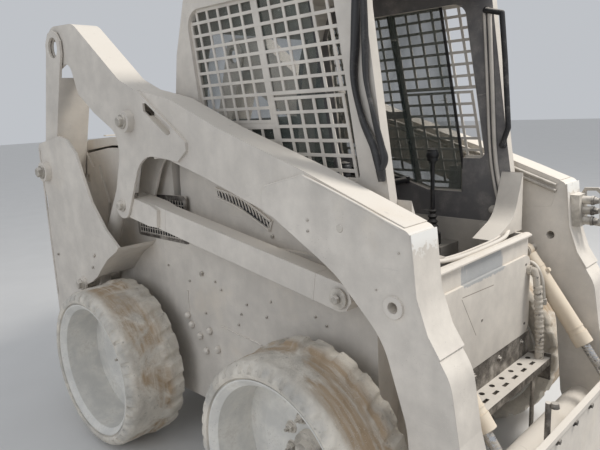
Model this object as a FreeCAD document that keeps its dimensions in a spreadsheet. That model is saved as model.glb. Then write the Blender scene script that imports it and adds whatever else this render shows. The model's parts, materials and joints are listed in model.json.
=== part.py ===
import FreeCAD, Part
import math
import os
import Sketcher
from FreeCAD import Placement, Rotation, Vector

# A skid steer loader with a vertical lift path, its arms lowered.
# Millimetres. X points to the front, Y to the machine's left and Z up. The origin is on the
# ground in the middle of the wheelbase, which is also the middle of the overall length.
# Distances across the machine are measured from its centre plane, and the names that end in
# _in and _out are the inner and outer faces of a piece there.

SIZES = [
    # alias, value, what it is
    ("wheelbase", 1220, "rear axle to front axle"),
    ("tyre_r", 387, "tyre radius at the lug tips"),
    ("tread_r", 373, "tyre radius where the lugs are worn away"),
    ("bead_r", 296, "tyre radius at its bead"),
    ("tyre_in", 542, "inner face of the tyre"),
    ("tyre_out", 822, "outer face of the tyre"),
    ("lug_count", 22, "worn lugs round a tyre"),
    ("lug_wide", 104, "how far the worn lugs reach across the tread"),
    ("rim_r", 313, "rim flange radius"),
    ("rim_wall", 9, "rim sheet"),
    ("disc_out", 606, "outer face of the wheel disc"),
    ("hub_r", 84, "wheel hub radius"),
    ("shaft_r", 30, "wheel shaft radius"),
    ("axle_r", 62, "axle tube radius"),
    ("axle_out", 556, "outer end of the axle tube"),
    ("run_gap", 6, "clearance between pieces that move past each other"),
    ("pin_gap", 0.08, "radial clearance of a pin in its bore"),
    ("frame_half", 464, "half width of the chassis"),
    ("frame_inside", 404, "half width inside the chassis"),
    ("frame_rear", -1240, "rear face of the chassis"),
    ("frame_front", 800, "front of the chassis sides"),
    ("belly_z", 240, "underside"),
    ("floor_z", 300, "top of the belly plate"),
    ("deck_z", 1030, "top of the chassis sides"),
    ("nose_half", 357, "half width of the foot box"),
    ("nose_wall", 12, "foot box sheet"),
    ("nose_front", 948, "front face of the foot box"),
    ("sill_z", 1000, "top of the foot box"),
    ("panel_low", 596, "lower edge of the front panel"),
    ("panel_high", 926, "upper edge of the front panel"),
    ("panel_t", 12, "front panel sheet"),
    ("step_z", 492, "top of the step"),
    ("step_reach", 102, "step, front to back"),
    ("step_half", 380, "half width of the step"),
    ("step_t", 8, "step sheet"),
    ("upright_t", 12, "upright plate"),
    ("tower_out", 662, "outer face of an upright"),
    ("tower_rear", -1250, "rear edge of an upright"),
    ("tower_low", 460, "lower edge of an upright"),
    ("tower_top", 1462, "top of an upright"),
    ("rear_pin_x", -1170, "lower pin of the rear link"),
    ("rear_pin_z", 1280, "lower pin of the rear link"),
    ("top_pin_x", -975, "upper pin of the rear link"),
    ("top_pin_z", 1882, "upper pin of the rear link"),
    ("link_pin_x", -495, "rear pin of the control link"),
    ("link_pin_z", 1151, "rear pin of the control link"),
    ("front_pin_x", 757, "front pin of the control link"),
    ("front_pin_z", 955, "front pin of the control link"),
    ("lift_pin_x", -365, "upper pin of the lift cylinder"),
    ("lift_pin_z", 1523, "upper pin of the lift cylinder"),
    ("base_pin_x", -900, "lower pin of the lift cylinder"),
    ("base_pin_z", 720, "lower pin of the lift cylinder"),
    ("pin_r", 25, "radius of the linkage pins"),
    ("boss_r", 50, "radius of the bosses round them"),
    ("arm_in", 500, "inner face of an arm"),
    ("arm_out", 626, "outer face of an arm"),
    ("arm_t", 10, "arm side plate"),
    ("link_gap", 1.5, "gap beside the links in the arm, at their pins"),
    ("arm_end_r", 100, "round rear end of an arm"),
    ("link_lug_r", 60, "round lug of an arm at the control link"),
    ("arm_ring_r", 48, "hole in the round rear end of an arm"),
    ("doubler_t", 12, "outer plates welded on an arm"),
    ("tube_x", 1130, "cross tube between the legs"),
    ("tube_z", 285, "cross tube between the legs"),
    ("tube_r", 57, "cross tube radius"),
    ("link_mid", 563, "middle of the control link and the lift cylinder"),
    ("control_t", 70, "width of the control link"),
    ("control_half", 48, "half height of the control link"),
    ("rear_link_in", 482, "inner face of the rear link"),
    ("rear_link_out", 644, "outer face of the rear link"),
    ("link_top_r", 80, "round top of the rear link"),
    ("link_low_r", 64, "round foot of the rear link"),
    ("barrel_r", 36, "lift cylinder barrel"),
    ("rod_r", 22, "lift cylinder rod"),
    ("eye_t", 56, "width of the lift cylinder eyes"),
    ("eye_r", 40, "radius of the lift cylinder eyes"),
    ("rod_shown", 125, "lift cylinder rod, from the barrel's end to its pin"),
    ("tool_pin_x", 1240, "carrier pivot"),
    ("tool_pin_z", 245, "carrier pivot"),
    ("tool_pin_r", 20, "radius of the carrier pivot pins"),
    ("leg_end_r", 50, "round foot of an arm"),
    ("tilt_top_x", 913, "upper pin of the tilt cylinder"),
    ("tilt_top_z", 917, "upper pin of the tilt cylinder"),
    ("tilt_low_x", 1270, "lower pin of the tilt cylinder"),
    ("tilt_low_z", 420, "lower pin of the tilt cylinder"),
    ("tilt_mid", 420, "middle of a tilt cylinder"),
    ("tilt_barrel_r", 34, "tilt cylinder barrel"),
    ("tilt_rod_r", 17, "tilt cylinder rod"),
    ("tilt_pin_r", 16, "tilt cylinder pins"),
    ("tilt_eye_t", 36, "width of the tilt cylinder eyes"),
    ("tilt_eye_r", 32, "radius of the tilt cylinder eyes"),
    ("tilt_rod_shown", 182, "tilt cylinder rod, from the barrel's end to its pin"),
    ("plate_back", 1308, "back of the carrier plate"),
    ("plate_t", 14, "carrier plate"),
    ("carrier_front", 1330, "front of the carrier"),
    ("plate_low", 130, "lower edge of the carrier plate"),
    ("plate_high", 556, "upper edge of the carrier plate"),
    ("plate_half", 484, "half width of the carrier plate"),
    ("wing_half", 580, "half width of the carrier's lower wings"),
    ("wing_high", 300, "top of the lower wings"),
    ("cab_half", 447, "half width of the cab"),
    ("cab_wall", 40, "cab side frame"),
    ("cab_rear", -300, "rear of the cab"),
    ("cab_front", 900, "front of the cab at its sill"),
    ("roof_z", 2030, "top of the cab sides"),
    ("roof_t", 46, "roof"),
    ("window_r", 26, "lower corner radius of the cab's side windows"),
    ("window_top_r", 68, "upper corner radius of the cab's side windows"),
    ("screen_t", 5, "screen sheet"),
    ("hole_wide", 55, "hole of the screens, front to back"),
    ("hole_high", 38, "hole of the screens, top to bottom"),
    ("screen_bar", 11.5, "bar between two holes"),
    ("seam_x", 240, "seam of the screens at the window's top"),
    ("seam_half", 16, "half width of the plain strip at the seam"),
    ("grille_cell", 60, "cell of the side grilles, front to back"),
    ("grille_high", 42, "cell of the side grilles, top to bottom"),
    ("grille_wire", 6, "wire of the side grilles"),
    ("pan_z", 920, "seat pan"),
    ("foot_z", 620, "foot floor"),
    ("sheet_t", 6, "floor sheet"),
    ("tail_x", -1330, "rear end of the machine"),
    ("door_half", 425, "half width of the rear door"),
    ("door_low", 430, "lower edge of the rear door"),
    ("door_high", 1284, "upper edge of the rear door"),
    ("cover_half", 440, "half width of the engine cover"),
    ("cover_front", -340, "front edge of the engine cover"),
    ("cover_z", 1398, "underside of the engine cover at its front"),
    ("cover_t", 40, "engine cover"),
    ("bar_r", 15, "seat bar tube"),
    ("bar_x", 340, "seat bar in front of the lap"),
    ("bar_z", 1190, "seat bar in front of the lap"),
    ("bar_pin_x", -190, "seat bar pivot"),
    ("bar_pin_z", 1250, "seat bar pivot"),
]

doc = FreeCAD.newDocument("skid_steer_loader")
sheet = doc.addObject("Spreadsheet::Sheet", "sizes")
for row, (alias, value, meaning) in enumerate(SIZES, start=1):
    sheet.set("A%d" % row, alias)
    sheet.set("B%d" % row, str(value))
    sheet.setAlias("B%d" % row, alias)
    sheet.set("C%d" % row, meaning)
doc.recompute()


# Sizes that carry their own expression

class Size:
    """A length with the spreadsheet expression that gives it."""

    def __init__(self, value, text):
        self.value = value
        self.text = text

    @staticmethod
    def of(other):
        return other if isinstance(other, Size) else Size(other, repr(other))

    def __add__(self, other):
        other = Size.of(other)
        return Size(self.value + other.value, "(%s + %s)" % (self.text, other.text))

    def __sub__(self, other):
        other = Size.of(other)
        return Size(self.value - other.value, "(%s - %s)" % (self.text, other.text))

    def __mul__(self, other):
        other = Size.of(other)
        return Size(self.value * other.value, "(%s * %s)" % (self.text, other.text))

    def __truediv__(self, other):
        other = Size.of(other)
        return Size(self.value / other.value, "(%s / %s)" % (self.text, other.text))

    def __radd__(self, other):
        return Size.of(other) + self

    def __rsub__(self, other):
        return Size.of(other) - self

    def __rmul__(self, other):
        return Size.of(other) * self

    def __neg__(self):
        return Size(-self.value, "(-%s)" % self.text)

    def __float__(self):
        return float(self.value)


class Sizes:
    """Every named size of the sheet, as an attribute."""


S = Sizes()
for alias, value, meaning in SIZES:
    setattr(S, alias, Size(sheet.get(alias), "sizes." + alias))


def bind(item, prop, size):
    """Set a property to a number, or bind it to the sheet."""
    if isinstance(size, Size):
        item.setExpression(prop, size.text)
    else:
        item.setExpression(prop, repr(float(size)))


# Sketches and features

NODES = []
SIDES = (("right", -1), ("left", 1))
AXES = {"XZ_Plane": (0, 2), "XY_Plane": (0, 1), "YZ_Plane": (1, 2)}


def node(item):
    """Keep an object as a piece of the machine."""
    NODES.append(item)
    return item


def new_body(label):
    body = doc.addObject("PartDesign::Body", label)
    body.Label = label
    return body


def sketch_on(body, name, plane, base):
    """A sketch on one of the body's origin planes, moved along the plane's normal."""
    sketch = body.newObject("Sketcher::SketchObject", name)
    support = [part for part in body.Origin.OriginFeatures if part.Role == plane][0]
    sketch.AttachmentSupport = [(support, "")]
    sketch.MapMode = "FlatFace"
    bind(sketch, "AttachmentOffset.Base.z", base)
    return sketch


def fix(sketch, kind, geometry, point, size):
    """Hold one coordinate of a point of the sketch."""
    number = sketch.addConstraint(
        Sketcher.Constraint(kind, -1, 1, geometry, point, float(size)))
    bind(sketch, "Constraints[%d]" % number, size)


def draw_outline(sketch, corners):
    """Add a closed outline of straight lines to a sketch."""
    count = len(corners)
    first = sketch.GeometryCount
    places = [Vector(float(u), float(v), 0) for u, v in corners]
    for index in range(count):
        sketch.addGeometry(Part.LineSegment(places[index], places[(index + 1) % count]))
    for index in range(count):
        sketch.addConstraint(Sketcher.Constraint(
            "Coincident", first + index, 2, first + (index + 1) % count, 1))
    for index, (u, v) in enumerate(corners):
        fix(sketch, "DistanceX", first + index, 1, u)
        fix(sketch, "DistanceY", first + index, 1, v)


def draw_circle(sketch, u, v, radius):
    """Add a circle to a sketch."""
    circle = sketch.addGeometry(
        Part.Circle(Vector(float(u), float(v), 0), Vector(0, 0, 1), float(radius)))
    fix(sketch, "DistanceX", circle, 3, u)
    fix(sketch, "DistanceY", circle, 3, v)
    number = sketch.addConstraint(Sketcher.Constraint("Radius", circle, float(radius)))
    bind(sketch, "Constraints[%d]" % number, radius)


def feature(body, name, sketch, depth, cut):
    """Pad a sketch along its normal, or cut it away along the same way."""
    kind = "PartDesign::Pocket" if cut else "PartDesign::Pad"
    item = body.newObject(kind, name)
    item.Profile = sketch
    bind(item, "Length", depth)
    if cut:
        item.Reversed = True
    sketch.Visibility = False
    return item


def plate(body, name, corners, base, depth, plane="XZ_Plane", cut=False):
    """A flat piece, or a cut, from a closed outline."""
    sketch = sketch_on(body, name + "_outline", plane, base)
    draw_outline(sketch, corners)
    return feature(body, name, sketch, depth, cut)


def discs(body, name, circles, base, depth, plane="XZ_Plane", cut=False):
    """Round bosses, or holes, from a table of centre and radius."""
    sketch = sketch_on(body, name + "_circles", plane, base)
    for u, v, radius in circles:
        draw_circle(sketch, u, v, radius)
    return feature(body, name, sketch, depth, cut)


def turned(body, name, corners):
    """A piece turned round the body's Y axis, from radius and place across."""
    sketch = sketch_on(body, name + "_section", "XY_Plane", 0)
    draw_outline(sketch, corners)
    item = body.newObject("PartDesign::Revolution", name)
    item.Profile = sketch
    item.ReferenceAxis = (sketch, ["V_Axis"])
    item.Angle = 360
    sketch.Visibility = False
    return sketch


def round_corners(body, name, corners, radius, plane="XZ_Plane"):
    """Fillet the edges of the last feature that stand on the given corners."""
    doc.recompute()
    tip = body.Tip
    u_axis, v_axis = AXES[plane]
    wanted = [(float(u), float(v)) for u, v in corners]
    chosen = []
    for number, edge in enumerate(tip.Shape.Edges, start=1):
        if len(edge.Vertexes) != 2:
            continue
        start, end = [tuple(vertex.Point) for vertex in edge.Vertexes]
        if abs(start[u_axis] - end[u_axis]) > 0.01 or abs(start[v_axis] - end[v_axis]) > 0.01:
            continue
        for u, v in wanted:
            if abs(start[u_axis] - u) < 0.01 and abs(start[v_axis] - v) < 0.01:
                chosen.append("Edge%d" % number)
    fillet = body.newObject("PartDesign::Fillet", name)
    fillet.Base = (tip, chosen)
    bind(fillet, "Radius", radius)
    return fillet


def side_base(side, inner, depth):
    """Where a pad starts on the XZ plane, whose normal points to the machine's right."""
    return inner if side == "right" else -(Size.of(inner) + depth)


def side_plate(body, name, side, corners, inner, depth, cut=False):
    return plate(body, name, corners, side_base(side, inner, depth), depth, cut=cut)


def side_discs(body, name, side, circles, inner, depth, cut=False):
    return discs(body, name, circles, side_base(side, inner, depth), depth, cut=cut)


def box_corners(u_low, u_high, v_low, v_high):
    return [(u_low, v_low), (u_high, v_low), (u_high, v_high), (u_low, v_high)]


def group(label, members):
    """Like pieces on one body, kept as one node."""
    item = doc.addObject("Part::Compound", label)
    item.Label = label
    item.Links = members
    return node(item)


def solid_node(label, solids):
    """A piece whose shape is computed here."""
    item = doc.addObject("Part::Feature", label)
    item.Label = label
    item.Shape = solids[0] if len(solids) == 1 else Part.makeCompound(solids)
    return node(item)


# Wheels

FLATS = 2  # flats of the tyre for each lug


def rim(label, sign):
    body = new_body(label)
    seat = S.bead_r - 0.3
    well = seat - S.rim_wall
    turned(body, label + "_turned", [(u, v * sign) for u, v in (
        (0, S.disc_out), (150, S.disc_out), (210, S.disc_out + 26), (well, S.disc_out + 26),
        (well, S.tyre_out - 30), (S.rim_r - 4, S.tyre_out - 8), (S.rim_r + 2, S.tyre_out - 8),
        (S.rim_r, S.tyre_out - 15.5), (seat, S.tyre_out - 25.4), (seat, S.tyre_in + 25.4),
        (S.rim_r, S.tyre_in + 9), (S.rim_r, S.tyre_in + 4), (S.rim_r - 8, S.tyre_in + 4),
        (well, S.tyre_in + 26), (well, S.disc_out + 17), (214, S.disc_out + 17),
        (154, S.disc_out - S.rim_wall), (S.hub_r, S.disc_out - S.rim_wall),
        (S.hub_r, S.axle_out + S.run_gap), (S.shaft_r, S.axle_out + S.run_gap),
        (S.shaft_r, S.frame_half + 34), (0, S.frame_half + 34))])
    return body


def ring_corners(radius, across, count):
    """Corners of a regular polygon round the Y axis, its flats at the given radius."""
    corner_r = radius / math.cos(math.pi / count)
    return [Vector(corner_r * math.sin(math.tau * k / count), across,
                   corner_r * math.cos(math.tau * k / count)) for k in range(count)]


def tyre(label, sign):
    """A tyre in flats, two for each lug, with its ring of worn lugs on the inner shoulder."""
    inner, outer = float(S.tyre_in), float(S.tyre_out)
    bead, crown, flange = float(S.bead_r), float(S.tread_r), float(S.rim_r)
    section = [
        # radius, place across
        (bead, inner + 26), (flange + 2, inner + 10), (flange + 24, inner),
        (crown - 32, inner), (crown - 4, inner + 14), (crown, inner + 110),
        (crown - 3, outer - 34), (crown - 30, outer - 4), (flange + 22, outer),
        (flange + 8, outer - 12), (bead, outer - 26)]
    lugs = round(float(S.lug_count))
    count = lugs * FLATS
    rings = [ring_corners(radius, across * sign, count) for radius, across in section]
    faces = []
    for ring, following in zip(rings, rings[1:] + rings[:1]):
        for k in range(count):
            after = (k + 1) % count
            corners = [ring[k], ring[after], following[after], following[k]]
            faces.append(Part.Face(Part.makePolygon(corners + corners[:1])))
    solid = Part.makeSolid(Part.makeShell(faces))
    if solid.Volume < 0:
        solid.reverse()
    half = float(S.tyre_r) * (math.pi * 0.56) / lugs
    low, start = crown - 12, inner + 4
    corners = [Vector(x, start * sign, z) for x, z in (
        (-half, low), (half, low), (half - 7, float(S.tyre_r)), (7 - half, float(S.tyre_r)))]
    lug = Part.Face(Part.makePolygon(corners + corners[:1])).extrude(
        Vector(0, float(S.lug_wide) * sign, 0))
    ring = []
    for k in range(lugs):
        copy = lug.copy()
        copy.rotate(Vector(0, 0, 0), Vector(0, 1, 0), k * 360 / lugs)
        ring.append(copy)
    item = doc.addObject("Part::Feature", label)
    item.Label = label
    item.Shape = solid.multiFuse(ring)
    return item


for end, way in (("front", 1), ("rear", -1)):
    for side, sign in SIDES:
        for maker, kind in ((rim, "rim"), (tyre, "tyre")):
            wheel = maker("%s_%s_%s" % (kind, end, side), sign)
            bind(wheel, "Placement.Base.x", S.wheelbase / 2 * way)
            bind(wheel, "Placement.Base.z", S.tyre_r)
            node(wheel)


# Chassis

def chassis():
    body = new_body("chassis")
    half = S.frame_half
    plate(body, "tub", [
        (S.frame_rear, S.belly_z + 60), (S.frame_rear + 60, S.belly_z),
        (S.frame_front - 60, S.belly_z), (S.frame_front, S.belly_z + 60),
        (S.frame_front, S.deck_z), (S.frame_rear, S.deck_z)], -half, half * 2)
    inner = S.frame_inside
    plate(body, "inside", box_corners(
        S.frame_rear + 60, S.frame_front - 60, S.floor_z, S.deck_z + 1), -inner, inner * 2,
        cut=True)
    way = S.door_half - 45
    plate(body, "door_way", box_corners(
        S.frame_rear - 1, S.frame_rear + 61, S.door_low + 10, S.deck_z + 1), -way, way * 2,
        cut=True)
    nose = S.nose_half
    plate(body, "foot_box", [
        (S.frame_front - 10, 290), (850, 290), (S.nose_front + 52, 420),
        (S.nose_front + 52, S.step_z - S.step_t - 10), (S.nose_front, S.step_z - S.step_t - 10),
        (S.nose_front, S.sill_z), (S.frame_front - 10, S.sill_z)], -nose, nose * 2)
    opened = nose - S.nose_wall
    plate(body, "foot_room", box_corners(
        S.frame_front - 61, S.nose_front - S.nose_wall, S.foot_z - 60, S.deck_z + 1),
        -opened, opened * 2, cut=True)
    return node(body)


chassis()


def axle_tubes():
    """Four axle tubes with the bores that the wheel shafts run in."""
    tubes = []
    for end, way in (("front", 1), ("rear", -1)):
        for side, sign in SIDES:
            body = new_body("axle_%s_%s" % (end, side))
            length = S.axle_out - S.frame_half
            x, z = S.wheelbase / 2 * way, S.tyre_r
            side_discs(body, body.Label + "_tube", side, [(x, z, S.axle_r)], S.frame_half, length)
            side_discs(body, body.Label + "_flange", side, [(x, z, S.axle_r + 30)],
                       S.frame_half, 22)
            side_discs(body, body.Label + "_bore", side, [(x, z, S.shaft_r + S.pin_gap)],
                       S.frame_half + 30, length - 29, cut=True)
            tubes.append(body)
    return group("axle_tubes", tubes)


axle_tubes()


def front_panel():
    body = new_body("front_panel")
    half = S.nose_half
    corners = box_corners(-half, half, S.panel_low, S.panel_high)
    plate(body, "panel", corners, S.nose_front, S.panel_t, plane="YZ_Plane")
    round_corners(body, "panel_corners", corners, 45, plane="YZ_Plane")
    return node(body)


front_panel()


def front_sill():
    body = new_body("front_sill")
    half = S.nose_half
    plate(body, "lip", [
        (S.nose_front - 148, S.sill_z), (S.nose_front + 16, S.sill_z),
        (S.nose_front + 16, S.sill_z + 6), (S.nose_front + 2, S.sill_z + 13),
        (S.nose_front - 12, S.sill_z + 13), (S.nose_front - 20, S.sill_z + 8),
        (S.nose_front - 148, S.sill_z + 8)], -half, half * 2)
    opened = S.nose_half - S.nose_wall
    plate(body, "lip_opening", box_corners(
        S.nose_front - 149, S.nose_front - 24, S.sill_z - 1, S.sill_z + 20),
        -opened, opened * 2, cut=True)
    return node(body)


front_sill()


def front_step():
    """The perforated step with its end plate and its stay."""
    body = new_body("front_step")
    half = S.step_half
    low = S.step_z - S.step_t
    front = S.nose_front + S.step_reach
    plate(body, "tread", [
        (S.nose_front, low), (front - S.step_t, low), (front - S.step_t, low - 22),
        (front, low - 22), (front, S.step_z), (S.nose_front + S.step_t, S.step_z),
        (S.nose_front + S.step_t, S.panel_low - 4), (S.nose_front, S.panel_low - 4)],
        -half, half * 2)
    holes = [(S.nose_front + 30, -320 + 80 * column, 11) for column in range(9)]
    discs(body, "tread_holes", holes, low - 1, S.step_t + 2, plane="XY_Plane", cut=True)
    for column in range(8):
        y = -298 + 80 * column
        plate(body, "tread_slot_%d" % column, box_corners(
            S.nose_front + 58, S.nose_front + 72, y, y + 36), low - 1, S.step_t + 2,
            plane="XY_Plane", cut=True)
    side_plate(body, "end_plate", "left", [
        (S.nose_front + 2, low - 90), (front, low - 90), (front, S.step_z + 16),
        (S.nose_front + 40, S.step_z + 16), (S.nose_front + 2, S.step_z)], half - 6, 6)
    side_plate(body, "stay", "left", box_corners(front - S.step_t, front, 196, low), 196, 26)
    return node(body)


front_step()


def engine_block():
    body = new_body("engine_block")
    plate(body, "block", box_corners(-1040, -420, S.floor_z, 880), -270, 540)
    return node(body)


engine_block()


# Uprights

def upright(side):
    body = new_body("upright_" + side)
    rear, high, low = S.tower_rear, S.tower_top, S.tower_low
    side_plate(body, "outer_plate", side, [
        (rear, low), (-1040, low), (-1026, 540), (-970, 640), (-870, 720), (-800, 748),
        (-743, 782), (-698, 824), (-626, 884), (-530, 937), (-507, 959), (-613, 1031),
        (-721, 1150), (-768, 1247), (-827, 1379), (-906, high - 16), (-997, high),
        (rear + 18, high - 39), (rear, high - 60), (rear, 1216), (-1215, 1140), (-1218, 1092),
        (rear, 1040)], S.tower_out - S.upright_t, S.upright_t)
    side_plate(body, "inner_plate", side, [
        (rear, low), (-1040, low), (-1026, 540), (-970, 640), (-900, 690), (-880, 860),
        (-960, 957), (-910, 1107), (-955, 1225), (-975, 1298), (-1040, 1290),
        (-1150, high - 45), (rear, high - 47)], S.frame_half, S.upright_t)
    span = S.tower_out - S.frame_half
    side_plate(body, "back_plate", side, box_corners(rear, rear + S.upright_t, low, 1030),
               S.frame_half, span)
    side_plate(body, "foot_block", side, box_corners(rear, -1046, low, low + 60),
               S.frame_half, span)
    side_plate(body, "fender", side, [
        (-507, 959), (-530, 937), (-626, 884), (-698, 824), (-743, 782), (-748, 790),
        (-703, 833), (-631, 893), (-535, 946)], S.frame_half, span)
    side_discs(body, "rear_boss", side, [(S.rear_pin_x, S.rear_pin_z, S.boss_r)],
               S.tower_out - 1, 31)
    side_discs(body, "base_boss", side, [(S.base_pin_x, S.base_pin_z, S.boss_r - 14)],
               S.tower_out - 1, 13)
    side_discs(body, "lamp_hole", side, [(-1100, 1224, 22)], S.frame_half - 1,
               S.upright_t + 2, cut=True)
    return node(body)


for side, sign in SIDES:
    upright(side)


def frame_pins():
    """Fixed pins of the rear links, the control links and the lift cylinders."""
    pins = []
    inner = S.frame_half + S.upright_t
    outer = S.tower_out - S.upright_t
    for side, sign in SIDES:
        for name, x, z, low, high in (
                ("rear_pin", S.rear_pin_x, S.rear_pin_z, inner, outer),
                ("base_pin", S.base_pin_x, S.base_pin_z, inner, outer),
                ("front_pin", S.front_pin_x, S.front_pin_z, S.frame_half,
                 S.link_mid + S.control_t / 2 + 8)):
            body = new_body("%s_%s" % (name, side))
            side_discs(body, body.Label + "_turned", side, [(x, z, S.pin_r)], low, high - low)
            pins.append(body)
    return group("frame_pins", pins)


frame_pins()


# Lift arms

BEAM = [
    (-300, 1650), (-300, 1360), (-137, 1372), (115, 1307), (494, 1191), (700, 1075),
    (980, 1100), (1012, 1212), (638, 1351), (232, 1484), (-78, 1605)]


def arm(side):
    """A beam with a blade that carries its round rear end and the lug of the control link."""
    body = new_body("lift_arm_" + side)
    width = S.arm_out - S.arm_in
    bx, bz, end = S.top_pin_x, S.top_pin_z, S.arm_end_r
    dx, dz = S.link_pin_x, S.link_pin_z
    knee, brow, nose_low = (-784, 1972), (-420, 1698), (-298, 1385)
    throat = [(-471, 1387), (-495, 1479)]
    neck = [(-805, 1659), (-859, 1814)]
    tip = [(30, 1438), (29, 1404)]
    blade = [(bx, bz + end), knee, brow, (-275, 1640)] + tip + [
        (-31, 1361), nose_low, (dx + 52, dz - 30), (dx - 56, dz + 22)] + throat + [
        (-668, 1567)] + neck + [(bx + 40, bz - 92)]
    side_plate(body, "blade", side, blade, S.arm_in, width)
    for name, corners, radius in (
            ("knee_round", [knee, brow], 120), ("nose_round", [nose_low], 150),
            ("throat_round", throat, 70), ("neck_round", neck, 60), ("tip_round", tip, 14)):
        round_corners(body, name, corners, radius)
    side_discs(body, "blade_ends", side, [(bx, bz, end), (dx, dz, S.link_lug_r)], S.arm_in, width)
    side_plate(body, "beam", side, BEAM, S.arm_in, width - S.doubler_t)
    # The room for the lift cylinder and the links, open below and behind.
    hollow = [
        (bx - 300, bz + 40), (bx - end * 0.72, bz + 40), (bx - end * 0.36, bz + end * 0.76),
        (bx + end * 0.2, bz + end * 0.82), (-789, 1956), (-428, 1684), (-270, 1624),
        (-215, 1570), (-215, 1290), (-340, 1100), (-480, 1040), (-620, 1040), (bx - 300, 1500)]
    side_plate(body, "hollow", side, hollow, S.arm_in + S.arm_t, width - S.arm_t * 2, cut=True)
    side_discs(body, "end_ring", side, [(bx, bz, S.arm_ring_r)], S.arm_in - 1, width + 2,
               cut=True)
    side_plate(body, "oblong", side, [
        (-246, 1592), (-222, 1592), (-70, 1496), (-64, 1470), (-88, 1462), (-246, 1562)],
        S.arm_out - S.doubler_t - 20, S.doubler_t + 21, cut=True)
    side_discs(body, "lift_boss", side, [(S.lift_pin_x, S.lift_pin_z, S.boss_r - 4)],
               S.arm_out - 1, 33)
    side_discs(body, "link_bore", side, [(dx, dz, S.pin_r)], S.arm_in - 1, width + 2, cut=True)
    return node(body)


for side, sign in SIDES:
    arm(side)

LEG_FRONT = [(1089, 917), (1054, 1021), (1037, 1200)]


def arm_leg(side):
    """The bent leg. Its outer plate laps over the beam's side."""
    body = new_body("arm_leg_" + side)
    width = S.arm_out - S.arm_in
    px, pz, foot = S.tool_pin_x, S.tool_pin_z, S.leg_end_r
    lap = [(449, 1290), (440, 1210)]
    shank = [(770, 1035), (940, 868), (1020, 620)]
    shin = [(1190, 620), (1163, 799)]
    side_plate(body, "leg", side, [(640, 1340)] + lap + [(494, 1194), (700, 1078)] + shank + [
        (1050, 300), (px - 170, pz), (px - 120, pz - 40), (px, pz - foot), (px + foot, pz)]
        + shin + LEG_FRONT, S.arm_in, width)
    for name, corners, radius in (
            ("lap_round", lap, 40), ("knee_round", LEG_FRONT[2:], 30), ("shank_round", shank, 260),
            ("shin_round", shin[1:] + LEG_FRONT[:1], 150)):
        round_corners(body, name, corners, radius)
    side_discs(body, "leg_foot", side, [(px, pz, foot)], S.arm_in, width)
    side_plate(body, "beam_lap", side, BEAM, S.arm_in - 1, width - S.doubler_t + 1, cut=True)
    side_discs(body, "leg_boss", side, [(981, 979, 34)], S.arm_out - 1, 9)
    side_discs(body, "leg_bore", side, [(981, 979, 17)], S.arm_in - 1, width + 11, cut=True)
    side_discs(body, "tool_bore", side, [(px, pz, S.tool_pin_r)], S.arm_in - 1, width + 2,
               cut=True)
    return node(body)


for side, sign in SIDES:
    arm_leg(side)


def cross_tube():
    body = new_body("cross_tube")
    discs(body, "tube", [(S.tube_x, S.tube_z, S.tube_r)], -S.arm_in, S.arm_in * 2)
    return node(body)


cross_tube()


def arm_pins():
    """Pins that the arms carry at the control links, the carrier and the tilt cylinders."""
    pins = []
    for side, sign in SIDES:
        for name, x, z, radius, low, high in (
                ("link_pin_in", S.link_pin_x, S.link_pin_z, S.pin_r, S.arm_in,
                 S.link_mid - S.barrel_r - 3 - S.run_gap),
                ("link_pin_out", S.link_pin_x, S.link_pin_z, S.pin_r,
                 S.link_mid + S.barrel_r + 3 + S.run_gap, S.arm_out),
                ("tool_pin", S.tool_pin_x, S.tool_pin_z, S.tool_pin_r, S.arm_in - 54, S.arm_out),
                ("tilt_pin", S.tilt_top_x, S.tilt_top_z, S.tilt_pin_r,
                 S.tilt_mid - S.tilt_eye_t / 2 - 6, S.arm_in)):
            body = new_body("%s_%s" % (name, side))
            side_discs(body, body.Label + "_turned", side, [(x, z, radius)], low, high - low)
            pins.append(body)
    return group("arm_pins", pins)


arm_pins()


def coupler_block():
    """Quick couplers of the auxiliary circuit and their guard, on the front of the left leg."""
    body = new_body("coupler_block")
    inner = S.arm_in + 20
    (x_low, z_low), (x_high, z_high) = LEG_FRONT[1:]
    lean = (x_high - x_low) / (z_high - z_low)
    top = 1150
    side_plate(body, "block", "left", [
        (x_low, z_low), (x_low + lean * (top - z_low), top), (1082, top), (1090, z_low)],
        inner, 90)
    for index, z in enumerate((1042, 1084, 1126)):
        discs(body, "socket_%d" % index, [(inner + 44, z, 17)], 1074, 44, plane="YZ_Plane")
    side_plate(body, "guard", "left", [
        (1060, top - 10), (1076, top - 10), (1084, 1160), (1122, 1162), (1136, 1150),
        (1140, z_low + 6), (1080, z_low + 10), (1080, z_low), (1152, z_low - 6),
        (1148, 1156), (1130, 1174), (1076, 1172)], inner + 76, 14)
    return node(body)


coupler_block()


# Links

def between(body, start, finish):
    """Place a piece that is drawn along its own X axis from one pin to the other."""
    dx, dz = Size.of(finish[0]) - start[0], Size.of(finish[1]) - start[1]
    angle = math.degrees(math.atan2(float(dz), float(dx)))
    body.Placement = Placement(Vector(0, 0, 0), Rotation(Vector(0, -1, 0), angle))
    bind(body, "Placement.Base.x", start[0])
    bind(body, "Placement.Base.z", start[1])
    body.setExpression("Placement.Rotation.Angle", "atan2(%s; %s)" % (dz.text, dx.text))


def span_of(start, finish):
    dx, dz = Size.of(finish[0]) - start[0], Size.of(finish[1]) - start[1]
    return Size(math.hypot(float(dx), float(dz)), "hypot(%s; %s)" % (dx.text, dz.text))


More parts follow.
